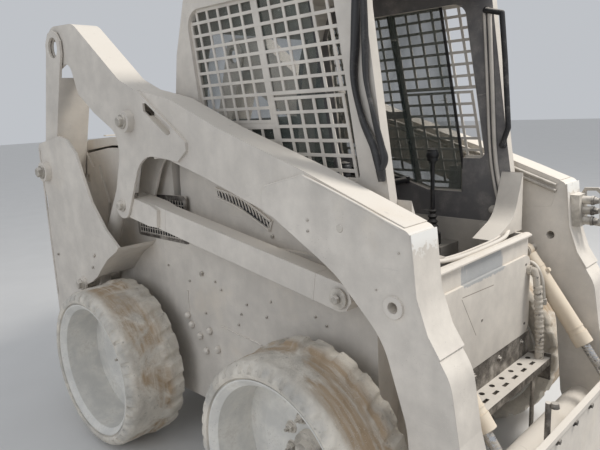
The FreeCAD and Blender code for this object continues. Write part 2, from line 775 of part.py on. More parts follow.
def rear_link(side):
    body = new_body("rear_link_" + side)
    ax, az, bx, bz = S.rear_pin_x, S.rear_pin_z, S.top_pin_x, S.top_pin_z
    top, low = S.link_top_r, S.link_low_r
    span = S.rear_link_out - S.rear_link_in
    side_plate(body, "link", side, [
        (ax - low, az + 10), (ax - low * 0.8, az - low * 0.6), (ax - low * 0.2, az - low),
        (ax + low * 0.4, az - low * 0.92), (ax + low * 0.9, az - low * 0.4),
        (ax + low * 0.96, az + 10), (bx + top * 0.95, bz - top * 0.4),
        (bx + top * 0.95, bz + top * 0.3), (bx + top * 0.5, bz + top * 0.87), (bx, bz + top),
        (bx - top * 0.5, bz + top * 0.87), (bx - top * 0.95, bz + top * 0.3),
        (bx - top, bz - top * 0.2)], S.rear_link_in, span)
    side_plate(body, "fork", side, box_corners(bx - 300, bx + 300, bz - 142, bz + 200),
               S.arm_in - S.run_gap, S.arm_out - S.arm_in + S.run_gap * 2, cut=True)
    side_discs(body, "foot_bore", side, [(ax, az, S.pin_r + S.pin_gap)], S.rear_link_in - 1,
               span + 2, cut=True)
    side_discs(body, "top_bore", side, [(bx, bz, S.arm_ring_r)], S.rear_link_in - 1, span + 2,
               cut=True)
    return body


group("rear_links", [rear_link(side) for side, sign in SIDES])

CONTROL_ENDS = ((S.front_pin_x, S.front_pin_z), (S.link_pin_x, S.link_pin_z))


def control_link(side):
    """A bar whose rear end is a fork: the lift cylinder swings through between its two tines."""
    body = new_body("control_link_" + side)
    length = span_of(*CONTROL_ENDS)
    half = S.control_half
    inner = S.link_mid - S.control_t / 2
    side_plate(body, "bar", side, [
        (-half * 0.6, half * 0.75), (-half * 0.95, 0), (-half * 0.6, -half * 0.75), (0, -half),
        (length - 200, -half), (length - 200, half), (0, half)], inner, S.control_t)
    wide = S.arm_out - S.arm_in - S.arm_t * 2 - S.link_gap * 2
    side_plate(body, "fork", side, [
        (length - 260, -half * 0.8), (length - 200, -half), (length, -half),
        (length + half * 0.6, -half * 0.75), (length + half * 0.95, 0),
        (length + half * 0.6, half * 0.75), (length, half), (length - 200, half),
        (length - 260, half * 0.8)], S.link_mid - wide / 2, wide)
    slot = (S.barrel_r + 3 + S.run_gap - 1) * 2
    side_plate(body, "fork_slot", side, box_corners(
        length - half - 12, length + half * 2, -half * 2, half * 2),
        S.link_mid - slot / 2, slot, cut=True)
    side_discs(body, "front_bore", side, [(0, 0, S.pin_r + S.pin_gap)], inner - 1,
               S.control_t + 2, cut=True)
    side_discs(body, "fork_bore", side, [(length, 0, S.pin_r + S.pin_gap)],
               S.link_mid - wide / 2 - 1, wide + 2, cut=True)
    between(body, *CONTROL_ENDS)
    return body


group("control_links", [control_link(side) for side, sign in SIDES])


# Cylinders

CYLINDERS = [
    # name, ends, middle, barrel radius, rod radius, rod shown, eye radius, eye width, pin,
    # travel inwards from rest
    ("lift", ((S.base_pin_x, S.base_pin_z), (S.lift_pin_x, S.lift_pin_z)), S.link_mid,
     S.barrel_r, S.rod_r, S.rod_shown, S.eye_r, S.eye_t, S.pin_r, 0),
    ("tilt", ((S.tilt_top_x, S.tilt_top_z), (S.tilt_low_x, S.tilt_low_z)), S.tilt_mid,
     S.tilt_barrel_r, S.tilt_rod_r, S.tilt_rod_shown, S.tilt_eye_r, S.tilt_eye_t,
     S.tilt_pin_r, 60),
]

for kind, ends, middle, radius, rod, shown, eye, eye_t, pin, inward in CYLINDERS:
    total = span_of(*ends)
    length = total - shown
    barrels, rods = [], []
    for side, sign in SIDES:
        inner = middle - eye_t / 2
        body = new_body("%s_barrel_%s" % (kind, side))
        name = body.Label
        side_discs(body, name + "_eye", side, [(0, 0, eye)], inner, eye_t)
        discs(body, name + "_tube", [(middle * sign, 0, radius)], eye * 0.6,
              length - eye * 0.6, plane="YZ_Plane")
        discs(body, name + "_gland", [(middle * sign, 0, radius + 3)], length - 50, 50,
              plane="YZ_Plane")
        side_discs(body, name + "_bore", side, [(0, 0, pin + S.pin_gap)], inner - 20,
                   eye_t + 40, cut=True)
        discs(body, name + "_room", [(middle * sign, 0, rod + S.pin_gap)], eye + 14, length,
              plane="YZ_Plane", cut=True)
        between(body, *ends)
        barrels.append(body)
        body = new_body("%s_rod_%s" % (kind, side))
        name = body.Label
        side_discs(body, name + "_eye", side, [(total, 0, eye)], inner, eye_t)
        discs(body, name + "_bar", [(middle * sign, 0, rod)], eye + 20 + inward,
              total - eye - 20 - inward, plane="YZ_Plane")
        side_discs(body, name + "_bore", side, [(total, 0, pin)], inner - 20, eye_t + 40,
                   cut=True)
        between(body, *ends)
        rods.append(body)
    group(kind + "_barrels", barrels)
    group(kind + "_rods", rods)


# Carrier

def carrier_plate():
    body = new_body("carrier_plate")
    half, wing = S.plate_half, S.wing_half
    back, front = S.plate_back, S.carrier_front
    plate(body, "face", [
        (-wing, S.plate_low), (wing, S.plate_low), (wing, S.wing_high - 30),
        (half, S.wing_high), (half, S.plate_high), (-half, S.plate_high), (-half, S.wing_high),
        (-wing, S.wing_high - 30)], back, S.plate_t, plane="YZ_Plane")
    plate(body, "hook", [
        (back, S.plate_high - 30), (back + S.plate_t, S.plate_high - 30),
        (front, S.plate_high - 12), (front, S.plate_high + 4), (back, S.plate_high + 4)],
        -half, half * 2)
    plate(body, "toe", [
        (back, S.plate_low), (front, S.plate_low), (front, S.plate_low + 8),
        (back + S.plate_t, S.plate_low + 30), (back, S.plate_low + 30)], -wing, wing * 2)
    px, pz, hx, hz = S.tool_pin_x, S.tool_pin_z, S.tilt_low_x, S.tilt_low_z
    eye_room = S.tilt_eye_t + S.run_gap * 2
    outer_ear = S.tilt_mid + eye_room / 2
    for side, sign in SIDES:
        plate(body, "eye_window_" + side, box_corners(
            S.tilt_mid * sign - eye_room / 2, S.tilt_mid * sign + eye_room / 2,
            hz - 60, hz + 90), back - 1, S.plate_t + 2, plane="YZ_Plane", cut=True)
        for name, inner in (("inner", outer_ear - eye_room - 12), ("outer", outer_ear)):
            side_plate(body, "ear_%s_%s" % (name, side), side, [
                (px - 40, pz - 6), (px - 30, pz - 30), (px, pz - 40), (back + 1, pz - 60),
                (back + 1, hz + 70), (hx - 10, hz + 30), (hx - 28, hz + 16), (hx - 32, hz - 6),
                (px - 42, pz + 20)], inner, 12)
        side_discs(body, "hub_" + side, side, [(px, pz, 38)], outer_ear, 46)
        side_discs(body, "pivot_bore_" + side, side, [(px, pz, S.tool_pin_r + S.pin_gap)],
                   outer_ear - 1, 50, cut=True)
    return node(body)


carrier_plate()


def carrier_levers():
    """Two locking handles on the back of the carrier plate."""
    levers = []
    for side, sign in SIDES:
        body = new_body("carrier_lever_" + side)
        side_plate(body, body.Label + "_pad", side, box_corners(
            S.plate_back - 24, S.plate_back, 440, 500), 250, 70)
        discs(body, body.Label + "_bar", [(S.plate_back - 14, 285 * sign, 9)], 480, 170,
              plane="XY_Plane")
        levers.append(body)
    return group("carrier_levers", levers)


carrier_levers()


# Cab

WINDOW_LOW = [(-66, 1300), (732, 1300)]
WINDOW_HIGH = [(628, 1945), (-150, 1950)]


def cab_side(side):
    body = new_body("cab_side_" + side)
    inner = S.cab_half - S.cab_wall
    deck = S.deck_z
    side_plate(body, "frame", side, [
        (S.cab_rear, deck), (S.cab_front, deck), (S.cab_front, 1190), (865, 1350), (765, 1950),
        (735, S.roof_z), (-120, S.roof_z), (-160, 1997), (-236, 1785), (-270, 1600)],
        inner, S.cab_wall)
    side_plate(body, "window", side, WINDOW_LOW + WINDOW_HIGH, inner - 1, S.cab_wall + 2,
               cut=True)
    round_corners(body, "window_low_corners", WINDOW_LOW, S.window_r)
    round_corners(body, "window_high_corners", WINDOW_HIGH, S.window_top_r)
    side_discs(body, "bar_pin", side, [(S.bar_pin_x, S.bar_pin_z, S.bar_r - 5)],
               inner - 26, 27)
    return node(body)


for side, sign in SIDES:
    cab_side(side)


def door_corners():
    """Rounded lower corners of the doorway, between the posts and the sill."""
    corners = []
    inner = S.cab_half - S.cab_wall
    low = S.sill_z + 8
    for side, sign in SIDES:
        body = new_body("door_corner_" + side)
        bend = (sign * (inner - 75), low + 62)
        outline = [(sign * inner, low), (sign * inner, low + 240), bend, (sign * (inner - 250), low)]
        plate(body, body.Label + "_web", outline, 806, 92, plane="YZ_Plane")
        round_corners(body, body.Label + "_round", [bend], 130, plane="YZ_Plane")
        corners.append(body)
    return group("door_corners", corners)


door_corners()


def cab_roof():
    body = new_body("cab_roof")
    half = S.cab_half
    high = S.roof_z + S.roof_t
    plate(body, "roof", [
        (-120, S.roof_z), (735, S.roof_z), (728, high - 18), (690, high), (-40, high),
        (-104, high - 20)], -half, half * 2)
    inner = half - S.cab_wall
    plate(body, "header", box_corners(680, 730, 1970, S.roof_z + 1), -inner, inner * 2)
    return node(body)


cab_roof()


def cab_back():
    body = new_body("cab_back")
    inner = S.cab_half - S.cab_wall
    plate(body, "wall", [
        (S.cab_rear, S.deck_z), (S.cab_rear + 30, S.deck_z), (-240, 1597), (-208, 1778),
        (-134, 1980), (-100, S.roof_z), (-120, S.roof_z), (-160, 1997), (-236, 1785),
        (-270, 1600)], -inner, inner * 2)
    window = box_corners(-300, 300, 1450, 1880)
    plate(body, "window", window, -400, 400, plane="YZ_Plane", cut=True)
    return node(body)


cab_back()


def cab_floor():
    body = new_body("cab_floor")
    inner = S.frame_inside
    low = S.nose_half - S.nose_wall
    thick = S.sheet_t
    front = S.nose_front - S.nose_wall
    plate(body, "pan", box_corners(S.cab_rear, 380, S.pan_z, S.pan_z + thick), -inner, inner * 2)
    plate(body, "fire_wall", box_corners(
        S.cab_rear, S.cab_rear + thick, S.floor_z, S.deck_z), -inner, inner * 2)
    plate(body, "riser", box_corners(380 - thick, 380, S.foot_z, S.pan_z + 1), -inner, inner * 2)
    plate(body, "foot_well", box_corners(
        374, S.frame_front - 60, S.foot_z, S.foot_z + thick), -inner, inner * 2)
    plate(body, "foot_end", box_corners(
        S.frame_front - 61, front, S.foot_z, S.foot_z + thick), -low, low * 2)
    for side, sign in SIDES:
        side_plate(body, "console_" + side, side, box_corners(470, 610, S.foot_z + 5, 925),
                   250, inner - 250)
    return node(body)


cab_floor()


def seat():
    base = new_body("seat_base")
    plate(base, "box", box_corners(-190, 240, S.pan_z + S.sheet_t, S.pan_z + 60), -200, 400)
    node(base)
    cushion = new_body("seat_cushion")
    corners = box_corners(-150, 300, S.pan_z + 60, S.pan_z + 160)
    plate(cushion, "pad", corners, -235, 470)
    round_corners(cushion, "pad_corners", corners, 28)
    node(cushion)
    back = new_body("seat_back")
    low = S.pan_z + 60
    plate(back, "back_pad", [
        (-186, low), (-152, low), (-151, low + 110), (-176, low + 520), (-196, low + 545),
        (-222, low + 545), (-240, low + 520), (-222, low + 110)], -230, 460)
    node(back)


seat()


def control_levers():
    levers = []
    for side, sign in SIDES:
        body = new_body("lever_" + side)
        place = (540, 300 * sign)
        discs(body, body.Label + "_boot", [place + (36,)], 925, 50, plane="XY_Plane")
        discs(body, body.Label + "_stem", [place + (9,)], 974, 340, plane="XY_Plane")
        discs(body, body.Label + "_knob", [place + (23,)], 1296, 48, plane="XY_Plane")
        levers.append(body)
    return group("control_levers", levers)


control_levers()


SCREEN_ROWS = [
    # block, way from the seam, upper edge of the first row, rows
    ("rear_high", -1, 1942, 9), ("rear_low", -1, 1474, 3),
    ("front_high", 1, 1942, 7), ("front_low", 1, 1576, 5),
]
SCREEN_LEAN = 0.19
SLOT = (345, 1594, 255, 16)  # the long slot: rear end, top, length and height


def side_screen(side):
    """A stamped screen with rows of leaning holes, set into the window of a cab side."""
    inner = float(S.cab_half - S.cab_wall) + 20
    wide, high, bar = float(S.hole_wide), float(S.hole_high), float(S.screen_bar)
    seam, strip = float(S.seam_x), float(S.seam_half)
    way = -1 if side == "right" else 1
    top = WINDOW_HIGH[1][1]
    outer = rounded_window(inner * way, float(S.screen_t) * way, 0)
    room = rounded_window(inner * way, float(S.screen_t) * way, bar * 0.8)
    holes = []
    for block, forward, first, rows in SCREEN_ROWS:
        for row in range(rows):
            z = first - row * (high + bar)
            for column in range(7):
                near = strip + column * (wide + bar)
                low, far = (near, near + wide) if forward > 0 else (-near - wide, -near)
                holes.append([(seam + low + SCREEN_LEAN * (top - level), level) if edge == 0 else
                              (seam + far + SCREEN_LEAN * (top - level), level)
                              for edge, level in ((0, z), (1, z), (1, z - high), (0, z - high))])
    x, z, length, depth = SLOT
    holes.append([(x, z), (x + length, z), (x + length + 3, z - depth), (x + 3, z - depth)])
    prisms = []
    for corners in holes:
        points = [Vector(x, inner * way, z) for x, z in corners]
        prism = Part.Face(Part.makePolygon(points + points[:1])).extrude(
            Vector(0, float(S.screen_t) * way, 0))
        prisms.append(prism)
    cuts = [solid for prism in prisms for solid in prism.common(room).Solids
            if solid.Volume > 200 * float(S.screen_t)]
    return solid_node("side_screen_" + side, outer.cut(cuts).Solids)


def rounded_window(across, depth, inset):
    """The window's outline as a flat block, set in by the given width."""
    points = [Vector(x, across, z) for x, z in WINDOW_LOW + WINDOW_HIGH]
    block = Part.Face(Part.makePolygon(points + points[:1])).extrude(Vector(0, depth, 0))
    for corners, radius in ((WINDOW_LOW, S.window_r), (WINDOW_HIGH, S.window_top_r)):
        standing = [edge for edge in block.Edges if all(
            min(math.hypot(vertex.X - x, vertex.Z - z) for x, z in corners) < 0.01
            for vertex in edge.Vertexes) and abs(edge.Vertexes[0].Y - edge.Vertexes[1].Y) > 1]
        block = block.makeFillet(float(radius), standing)
    if inset:
        face = [face for face in block.Faces
                if abs(face.CenterOfMass.y - across) < 0.01][0]
        ring = face.OuterWire.makeOffset2D(-inset)
        block = Part.Face(ring).extrude(Vector(0, depth, 0))
    return block


for side, sign in SIDES:
    side_screen(side)


def tube_along(points, radius):
    """A round tube through the given points."""
    solids = []
    for start, finish in zip(points, points[1:]):
        way = finish - start
        solids.append(Part.makeCylinder(radius, way.Length, start, way))
    for point in points[1:-1]:
        solids.append(Part.makeSphere(radius, point))
    return solids[0].multiFuse(solids[1:]).removeSplitter() if len(solids) > 1 else solids[0]


def seat_bar():
    """The padded bar over the lap, hinged on both cab sides."""
    body = new_body("seat_bar")
    tube = S.bar_r
    outer = S.cab_half - S.cab_wall - S.run_gap
    x, z, px, pz = S.bar_x, S.bar_z, S.bar_pin_x, S.bar_pin_z
    for side, sign in SIDES:
        side_plate(body, "arm_" + side, side, [
            (px - 24, pz), (px, pz - 24), (x - 60, z - tube), (x + tube, z - tube),
            (x + tube, z + tube), (x - 60, z + tube), (px, pz + 24)], outer - 22, 22)
    discs(body, "lap_tube", [(x, z, tube)], -(outer - 2), (outer - 2) * 2)
    discs(body, "lap_pad", [(x, z, tube + 14)], -200, 400)
    for side, sign in SIDES:
        side_discs(body, "pin_bore_" + side, side, [(px, pz, tube - 5 + S.pin_gap)],
                   outer - 30, 40, cut=True)
    return node(body)


seat_bar()


def grab_bar():
    """A bent guard bar up the left front pillar, inside the doorway."""
    y = float(S.cab_half - S.cab_wall) - 18
    points = [Vector(x, y, z) for x, z in (
        (731, 1900), (800, 1880), (818, 1696), (838, 1430), (812, 1358))]
    solid = tube_along(points, 11)
    feet = [Part.makeCylinder(13, 20, Vector(x, y - 2, z), Vector(0, 1, 0))
            for x, z in ((731, 1900), (812, 1358))]
    return solid_node("grab_bar", [solid.multiFuse(feet).removeSplitter()])


grab_bar()


# Engine bay

def engine_sides():
    sides = []
    for side, sign in SIDES:
        body = new_body("engine_side_" + side)
        name = body.Label
        low = S.cover_z - 12
        side_plate(body, name + "_wall", side, [
            (S.frame_rear, S.deck_z), (S.cab_rear - 20, S.deck_z), (S.cab_rear - 20, low),
            (-880, low + 4), (-1160, low - 34), (S.frame_rear, low - 110)],
            S.frame_half - 40, 40)
        side_plate(body, name + "_ear", side, box_corners(
            S.cover_front - 40, S.cover_front + 20, low - 1, S.cover_z + 50),
            S.cover_half + S.run_gap, S.frame_half - S.cover_half - S.run_gap)
        side_discs(body, name + "_pin", side, [(S.cover_front - 16, S.cover_z + 20, 8)],
                   S.cover_half - 20, 27)
        sides.append(body)
    return group("engine_sides", sides)


engine_sides()


def top_cover():
    body = new_body("top_cover")
    half = S.cover_half
    z, t, x = S.cover_z, S.cover_t, S.cover_front
    plate(body, "lid", [
        (x, z), (x, z + t), (-880, z + t + 6), (-1130, z + t - 10), (-1232, z + t - 70),
        (-1240, z - 100), (-1232, z - 104), (-1160, z - 28), (-880, z + 4)], -half, half * 2)
    for side, sign in SIDES:
        side_discs(body, "pin_bore_" + side, side, [(x - 16, z + 20, 8 + S.pin_gap)],
                   half - 24, 25, cut=True)
    return node(body)


top_cover()


def rear_door():
    body = new_body("rear_door")
    half = S.door_half
    front = S.frame_rear - S.run_gap
    corners = box_corners(-half, half, S.door_low, S.door_high)
    plate(body, "skin", corners, S.tail_x, front - S.tail_x, plane="YZ_Plane")
    round_corners(body, "skin_corners", corners, 40, plane="YZ_Plane")
    inside = half - 40
    plate(body, "door_inside", box_corners(
        -inside, inside, S.door_low + 40, S.door_high - 40), S.tail_x + 12, 200,
        plane="YZ_Plane", cut=True)
    for name, z in (("low", 600), ("high", 940)):
        plate(body, "strap_" + name, [
            (S.tail_x + 30, half - 20), (S.tail_x + 60, half - 20),
            (S.tail_x + 56, half + 36), (S.tail_x + 26, half + 36)], z, 40, plane="XY_Plane")
        discs(body, "hinge_bore_" + name, [(S.tail_x + 41, half + 22, 8 + S.pin_gap)], z - 1, 42,
              plane="XY_Plane", cut=True)
    return node(body)


rear_door()


def door_hinges():
    hinges = []
    for name, z in (("low", 600), ("high", 940)):
        body = new_body("door_hinge_" + name)
        plate(body, name + "_bracket", [
            (S.frame_rear, S.door_half + 8), (S.frame_rear, S.frame_half),
            (S.tail_x + 28, S.frame_half), (S.tail_x + 28, S.door_half + 8)], z - 32, 26,
            plane="XY_Plane")
        discs(body, name + "_pin", [(S.tail_x + 41, S.door_half + 22, 8)], z - 7, 47,
              plane="XY_Plane")
        hinges.append(body)
    return group("door_hinges", hinges)


door_hinges()


def rear_bumper():
    body = new_body("rear_bumper")
    half = S.frame_half
    plate(body, "beam", [
        (S.tail_x, 330), (S.frame_rear, 302), (S.frame_rear, 424), (S.tail_x, 424)],
        -half, half * 2)
    return node(body)


rear_bumper()


def tail_lamps():
    lamps = []
    for side, sign in SIDES:
        body = new_body("tail_lamp_" + side)
        discs(body, body.Label + "_cup", [(S.link_mid * sign, 900, 44)], S.tower_rear - 26, 26,
              plane="YZ_Plane")
        lamps.append(body)
    return group("tail_lamps", lamps)


tail_lamps()


def side_grilles():
    """A framed wire grille on each side, behind the cab."""
    frames = []
    wide, high, wire = S.grille_cell, S.grille_high, S.grille_wire
    for side, sign in SIDES:
        body = new_body("side_grille_" + side)
        name = body.Label
        low_corners = [(-640, 972), (-228, 972)]
        high_corners = [(-222, 1190), (-652, 1178)]
        side_plate(body, name + "_frame", side, low_corners + high_corners, S.frame_half, 9)
        round_corners(body, name + "_corners", low_corners + high_corners, 16)
        side_plate(body, name + "_recess", side, box_corners(-628, -242, 986, 1166),
                   S.frame_half + 5, 5, cut=True)
        for row in range(4):
            for column in range(6):
                x, z = -622 + column * 64, 990 + row * 44
                side_plate(body, "%s_cell_%d_%d" % (name, row, column), side, box_corners(
                    x, x + wide - wire, z, z + high - wire), S.frame_half - 1, 8, cut=True)
        frames.append(body)
    return group("side_grilles", frames)


side_grilles()


def side_vents():
    vents = []
    for side, sign in SIDES:
        body = new_body("side_vent_" + side)
        name = body.Label
        side_plate(body, name + "_plate", side, [
            (-30, 1240), (-24, 1196), (120, 1160), (290, 1088), (306, 1130), (140, 1206)],
            S.cab_half, 6)
        vents.append(body)
    return group("side_vents", vents)


side_vents()


def arm_lines():
    """Two steel lines clamped along the inner face of the left arm, to the couplers."""
    y = float(S.arm_in) - 12
    solids = []
    for offset in (0, 24):
        points = [Vector(x, y, z - offset) for x, z in (
            (-180, 1560), (230, 1455), (640, 1322), (1000, 1190))]
        solids.append(tube_along(points, 7))
    clamps = [Part.makeBox(30, 24, 46, Vector(x - 15, y - 12, z - 36))
              for x, z in ((20, 1508), (520, 1360))]
    shape = solids[0].multiFuse([solids[1]] + clamps).removeSplitter()
    return solid_node("arm_lines", [shape])


arm_lines()


def front_hose():
    """The hose beside the front panel, from its fitting down to the step."""
    face = float(S.nose_front + S.panel_t)
    y, high, radius = 338, 862, 14
    points = [Vector(x, across, z) for x, across, z in (
        (face, y, high), (face + 26, y, high), (face + 34, y, high - 26), (face + 44, y + 6, 730),
        (face + 54, y + 8, 620), (face + 54, y + 8, float(S.step_z)))]
    hose = tube_along(points, radius)
    ends = [Part.makeCylinder(radius + 5, 16, points[0], Vector(1, 0, 0)),
            Part.makeCylinder(radius + 4, 30, points[-1], Vector(0, 0, 1))]
    return solid_node("front_hose", [hose.multiFuse(ends).removeSplitter()])


front_hose()


doc.recompute()
os.makedirs("parts", exist_ok=True)
for item in doc.Objects:
    if "Invalid" in item.State or "Error" in item.State:
        raise RuntimeError("%s did not build" % item.Label)
for item in NODES:
    if item.Shape.isNull() or not item.Shape.isValid():
        raise RuntimeError("%s has no valid shape" % item.Label)
for item in NODES:
    item.Shape.exportStep("parts/%s.step" % item.Label)
    box = item.Shape.BoundBox
    print("%-22s solids %2d  x %6.0f %6.0f  y %6.0f %6.0f  z %6.0f %6.0f" % (
        item.Label, len(item.Shape.Solids), box.XMin, box.XMax, box.YMin, box.YMax,
        box.ZMin, box.ZMax))
print(len(NODES), "nodes")
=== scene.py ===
import json
import math
import random

import bmesh
import bpy
from mathutils import Matrix, Vector, noise


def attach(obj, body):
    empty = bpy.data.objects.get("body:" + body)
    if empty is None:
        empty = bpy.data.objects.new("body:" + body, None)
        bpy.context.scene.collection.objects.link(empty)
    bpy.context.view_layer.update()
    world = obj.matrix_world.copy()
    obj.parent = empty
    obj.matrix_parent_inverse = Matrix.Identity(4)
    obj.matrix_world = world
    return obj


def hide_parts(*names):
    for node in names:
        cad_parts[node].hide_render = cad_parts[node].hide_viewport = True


# A skid steer loader under a coat of pale cement dust: white paint on every sheet, worn steel where
# pieces rub, solid tyres caked in grey and tan, black vinyl and rubber in the cab.

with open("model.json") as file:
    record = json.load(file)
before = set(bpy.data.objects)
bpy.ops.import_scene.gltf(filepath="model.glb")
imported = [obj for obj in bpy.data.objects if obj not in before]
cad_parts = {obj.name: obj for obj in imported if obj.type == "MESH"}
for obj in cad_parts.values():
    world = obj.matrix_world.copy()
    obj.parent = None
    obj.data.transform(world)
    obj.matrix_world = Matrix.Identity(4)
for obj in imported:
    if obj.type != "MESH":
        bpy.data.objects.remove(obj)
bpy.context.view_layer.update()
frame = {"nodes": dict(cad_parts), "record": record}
NODES = frame["nodes"]
random.seed(7)


# Shader maths

class Value:
    """The output of a shader node, which can be added, subtracted and multiplied."""

    def __init__(self, finish, socket):
        self.finish = finish
        self.socket = socket

    def join(self, operation, first, second):
        return self.finish.add("Math", {0: first, 1: second}, operation=operation)

    def __add__(self, other):
        return self.join("ADD", self, other)

    def __radd__(self, other):
        return self.join("ADD", other, self)

    def __sub__(self, other):
        return self.join("SUBTRACT", self, other)

    def __rsub__(self, other):
        return self.join("SUBTRACT", other, self)

    def __mul__(self, other):
        return self.join("MULTIPLY", self, other)


class Finish:
    """A material, with short calls for the nodes that its patterns use."""

    def __init__(self, name):
        self.material = bpy.data.materials.new(name)
        self.material.use_nodes = True
        self.tree = self.material.node_tree
        self.shader = self.tree.nodes["Principled BSDF"]
        self.object = self.add("TexCoord", {}, "Object")
        self.facing = self.add("TexCoord", {}, "Normal")

    def add(self, kind, values, output=0, **settings):
        """A node with its settings made first, then the values or links of its sockets."""
        made = self.tree.nodes.new("ShaderNode" + kind)
        for key, setting in settings.items():
            setattr(made, key, setting)
        for key, value in values.items():
            self.feed(made.inputs[key], value)
        return Value(self, made.outputs[output])

    def feed(self, socket, value):
        if isinstance(value, Value):
            self.tree.links.new(value.socket, socket)
        else:
            socket.default_value = value

    def noise(self, scale, detail=4.0, rough=0.55, stretch=None, warp=0.0):
        """Noise from 0 to 1 over the piece, its scale in cells a metre."""
        place = self.object
        if stretch:
            place = self.add("Mapping", {"Vector": place, "Scale": stretch})
        return self.add("TexNoise", {"Vector": place, "Scale": scale, "Detail": detail,
                                     "Roughness": rough, "Distortion": warp})

    def cells(self, scale):
        """Distance to the nearest of many scattered points."""
        return self.add("TexVoronoi", {"Vector": self.object, "Scale": scale}, "Distance")

    def step(self, value, low, high):
        """0 below low, 1 above high, smooth between. low may be the larger."""
        return self.add("MapRange", {"Value": value, "From Min": low, "From Max": high},
                        interpolation_type="SMOOTHSTEP")

    def mix(self, amount, first, second):
        """From the first colour to the second as the amount goes from 0 to 1.

        The node's sockets 6 and 7 and its output 2 are the ones for colours.
        """
        return self.add("Mix", {0: amount, 6: first, 7: second}, 2, data_type="RGBA")

    def place(self, axis):
        """How far along an axis, in metres."""
        return self.add("SeparateXYZ", {0: self.object}, axis)

    def turned(self, axis):
        """How far the surface faces an axis, from -1 to 1."""
        return self.add("SeparateXYZ", {0: self.facing}, axis)

    def distance(self, value, middle):
        """How far a value is from the middle, either way."""
        return self.add("Math", {0: value - middle}, operation="ABSOLUTE")

    def bump(self, height, distance, strength, normal=None):
        values = {"Height": height, "Distance": distance, "Strength": strength}
        if normal is not None:
            values["Normal"] = normal
        return self.add("Bump", values)

    def soft_edge(self, radius):
        """A normal that rounds sharp edges off."""
        return self.add("Bevel", {"Radius": radius}, samples=4)

    def set(self, **values):
        """Feed the shader's sockets. An underscore in a name stands for a space."""
        for key, value in values.items():
            self.feed(self.shader.inputs[key.replace("_", " ")], value)
        return self.material


def rgb(red, green, blue):
    """A colour as it shows on a screen, from 0 to 255, for a shader."""
    def linear(level):
        level /= 255
        return level / 12.92 if level <= 0.04045 else ((level + 0.055) / 1.055) ** 2.4
    return (linear(red), linear(green), linear(blue), 1.0)


# Finishes

PALE_DUST = rgb(226, 219, 209)
GREY_DUST = rgb(196, 190, 182)
WARM_DUST = rgb(214, 201, 182)
WHITE_PAINT = rgb(230, 227, 221)
DARK_SOIL = rgb(116, 105, 94)
TAN_DIRT = rgb(176, 155, 130)
SCRAPED = rgb(150, 156, 162)
# Painted shade for the inside of the cab
INSIDE_SHADE_GREY = rgb(104, 103, 106)


def dusty_sheet(name, under=GREY_DUST, over=PALE_DUST, edge=0.003, extra=None):
    """White painted sheet whose paint barely shows through cement dust and dried splashes.

    extra may change the colour of one place after the dust is on.
    """
    look = Finish(name)
    up = look.step(look.turned(2), 0.15, 0.9)
    broad = look.noise(1.9, 4, 0.55, warp=0.3)
    cloud = look.noise(11, 6, 0.62)
    runs = look.noise(4, 5, 0.6, stretch=(2.4, 2.4, 0.22))
    cover = look.step(broad * 0.4 + cloud * 0.35 + runs * 0.15 + up * 0.3, 0.3, 0.66)
    colour = look.mix(cover, under, over)
    washed = look.step(look.noise(7, 5, 0.66, stretch=(1.6, 1.6, 0.3)), 0.6, 0.76)
    colour = look.mix(washed * 0.3, colour, WHITE_PAINT)
    warm = look.step(look.noise(2.7, 4, 0.6), 0.54, 0.74) * 0.3
    colour = look.mix(warm, colour, WARM_DUST)
    if extra:
        colour = extra(look, colour)
    specks = look.step(look.cells(95), 0.16, 0.05) * look.step(look.noise(6, 3), 0.54, 0.68)
    colour = look.mix(specks * 0.5, colour, DARK_SOIL)
    crumbs = look.step(look.cells(210), 0.2, 0.06) * look.step(look.noise(9, 3), 0.45, 0.6)
    colour = look.mix(crumbs * 0.6, colour, rgb(242, 237, 228))
    scuffs = look.step(look.noise(30, 4, 0.5, stretch=(0.25, 1, 1.6)), 0.69, 0.725)
    colour = look.mix(scuffs * 0.35, colour, GREY_DUST)
    grain = look.noise(260, 3, 0.7)
    height = grain * 0.35 + cloud * 0.7 + crumbs * 0.8 + specks * -0.5
    normal = look.bump(height, 0.002, 0.5, look.soft_edge(edge))
    return look.set(Base_Color=colour, Roughness=0.86 + cover * 0.1, Normal=normal,
                    Specular_IOR_Level=0.25)


def band(look, value, middle, half, soft):
    """1 where the value is within half of the middle, 0 outside, with a soft edge."""
    return look.step(look.distance(value, middle), half + soft, half)


def cab_inside_shade(look, colour):
    """Painted shade: dark grey on the faces of the cab that look inwards, so the inside of the cab
    reads as shaded; fine dust thins it.
    """
    across = look.place(1)
    # The faces that look into the cab take the painted shade
    inward = look.step(look.turned(1) * across, -0.02, -0.2)
    film = look.step(look.noise(9, 5, 0.6), 0.4, 0.8)
    return look.mix(inward * 0.92, colour, look.mix(film * 0.45, INSIDE_SHADE_GREY, GREY_DUST))


def nose_marks(look, colour):
    """Scraped grey paint below the doorway, and the seams of the pressed front panel."""
    front = look.step(look.place(0), 0.944, 0.947)
    across, up = look.place(1), look.place(2)
    patch = band(look, across, -0.03, 0.12, 0.1) * band(look, up, 0.955, 0.03, 0.03)
    drips = look.noise(26, 5, 0.6, stretch=(1, 2.2, 0.5))
    scraped = look.step(patch * 0.5 + drips * 0.6, 0.62, 0.72) * front
    colour = look.mix(scraped * 0.65, colour, SCRAPED)
    level = band(look, up + across * 0.052, 0.876, 0.0012, 0.0008) * band(
        look, across, -0.08, 0.115, 0.002)
    upright = band(look, up + across * 1.55, 0.571, 0.0022, 0.0014) * band(
        look, up, 0.8, 0.08, 0.003)
    seams = (level + upright) * front
    return look.mix(seams * 0.75, colour, DARK_SOIL)


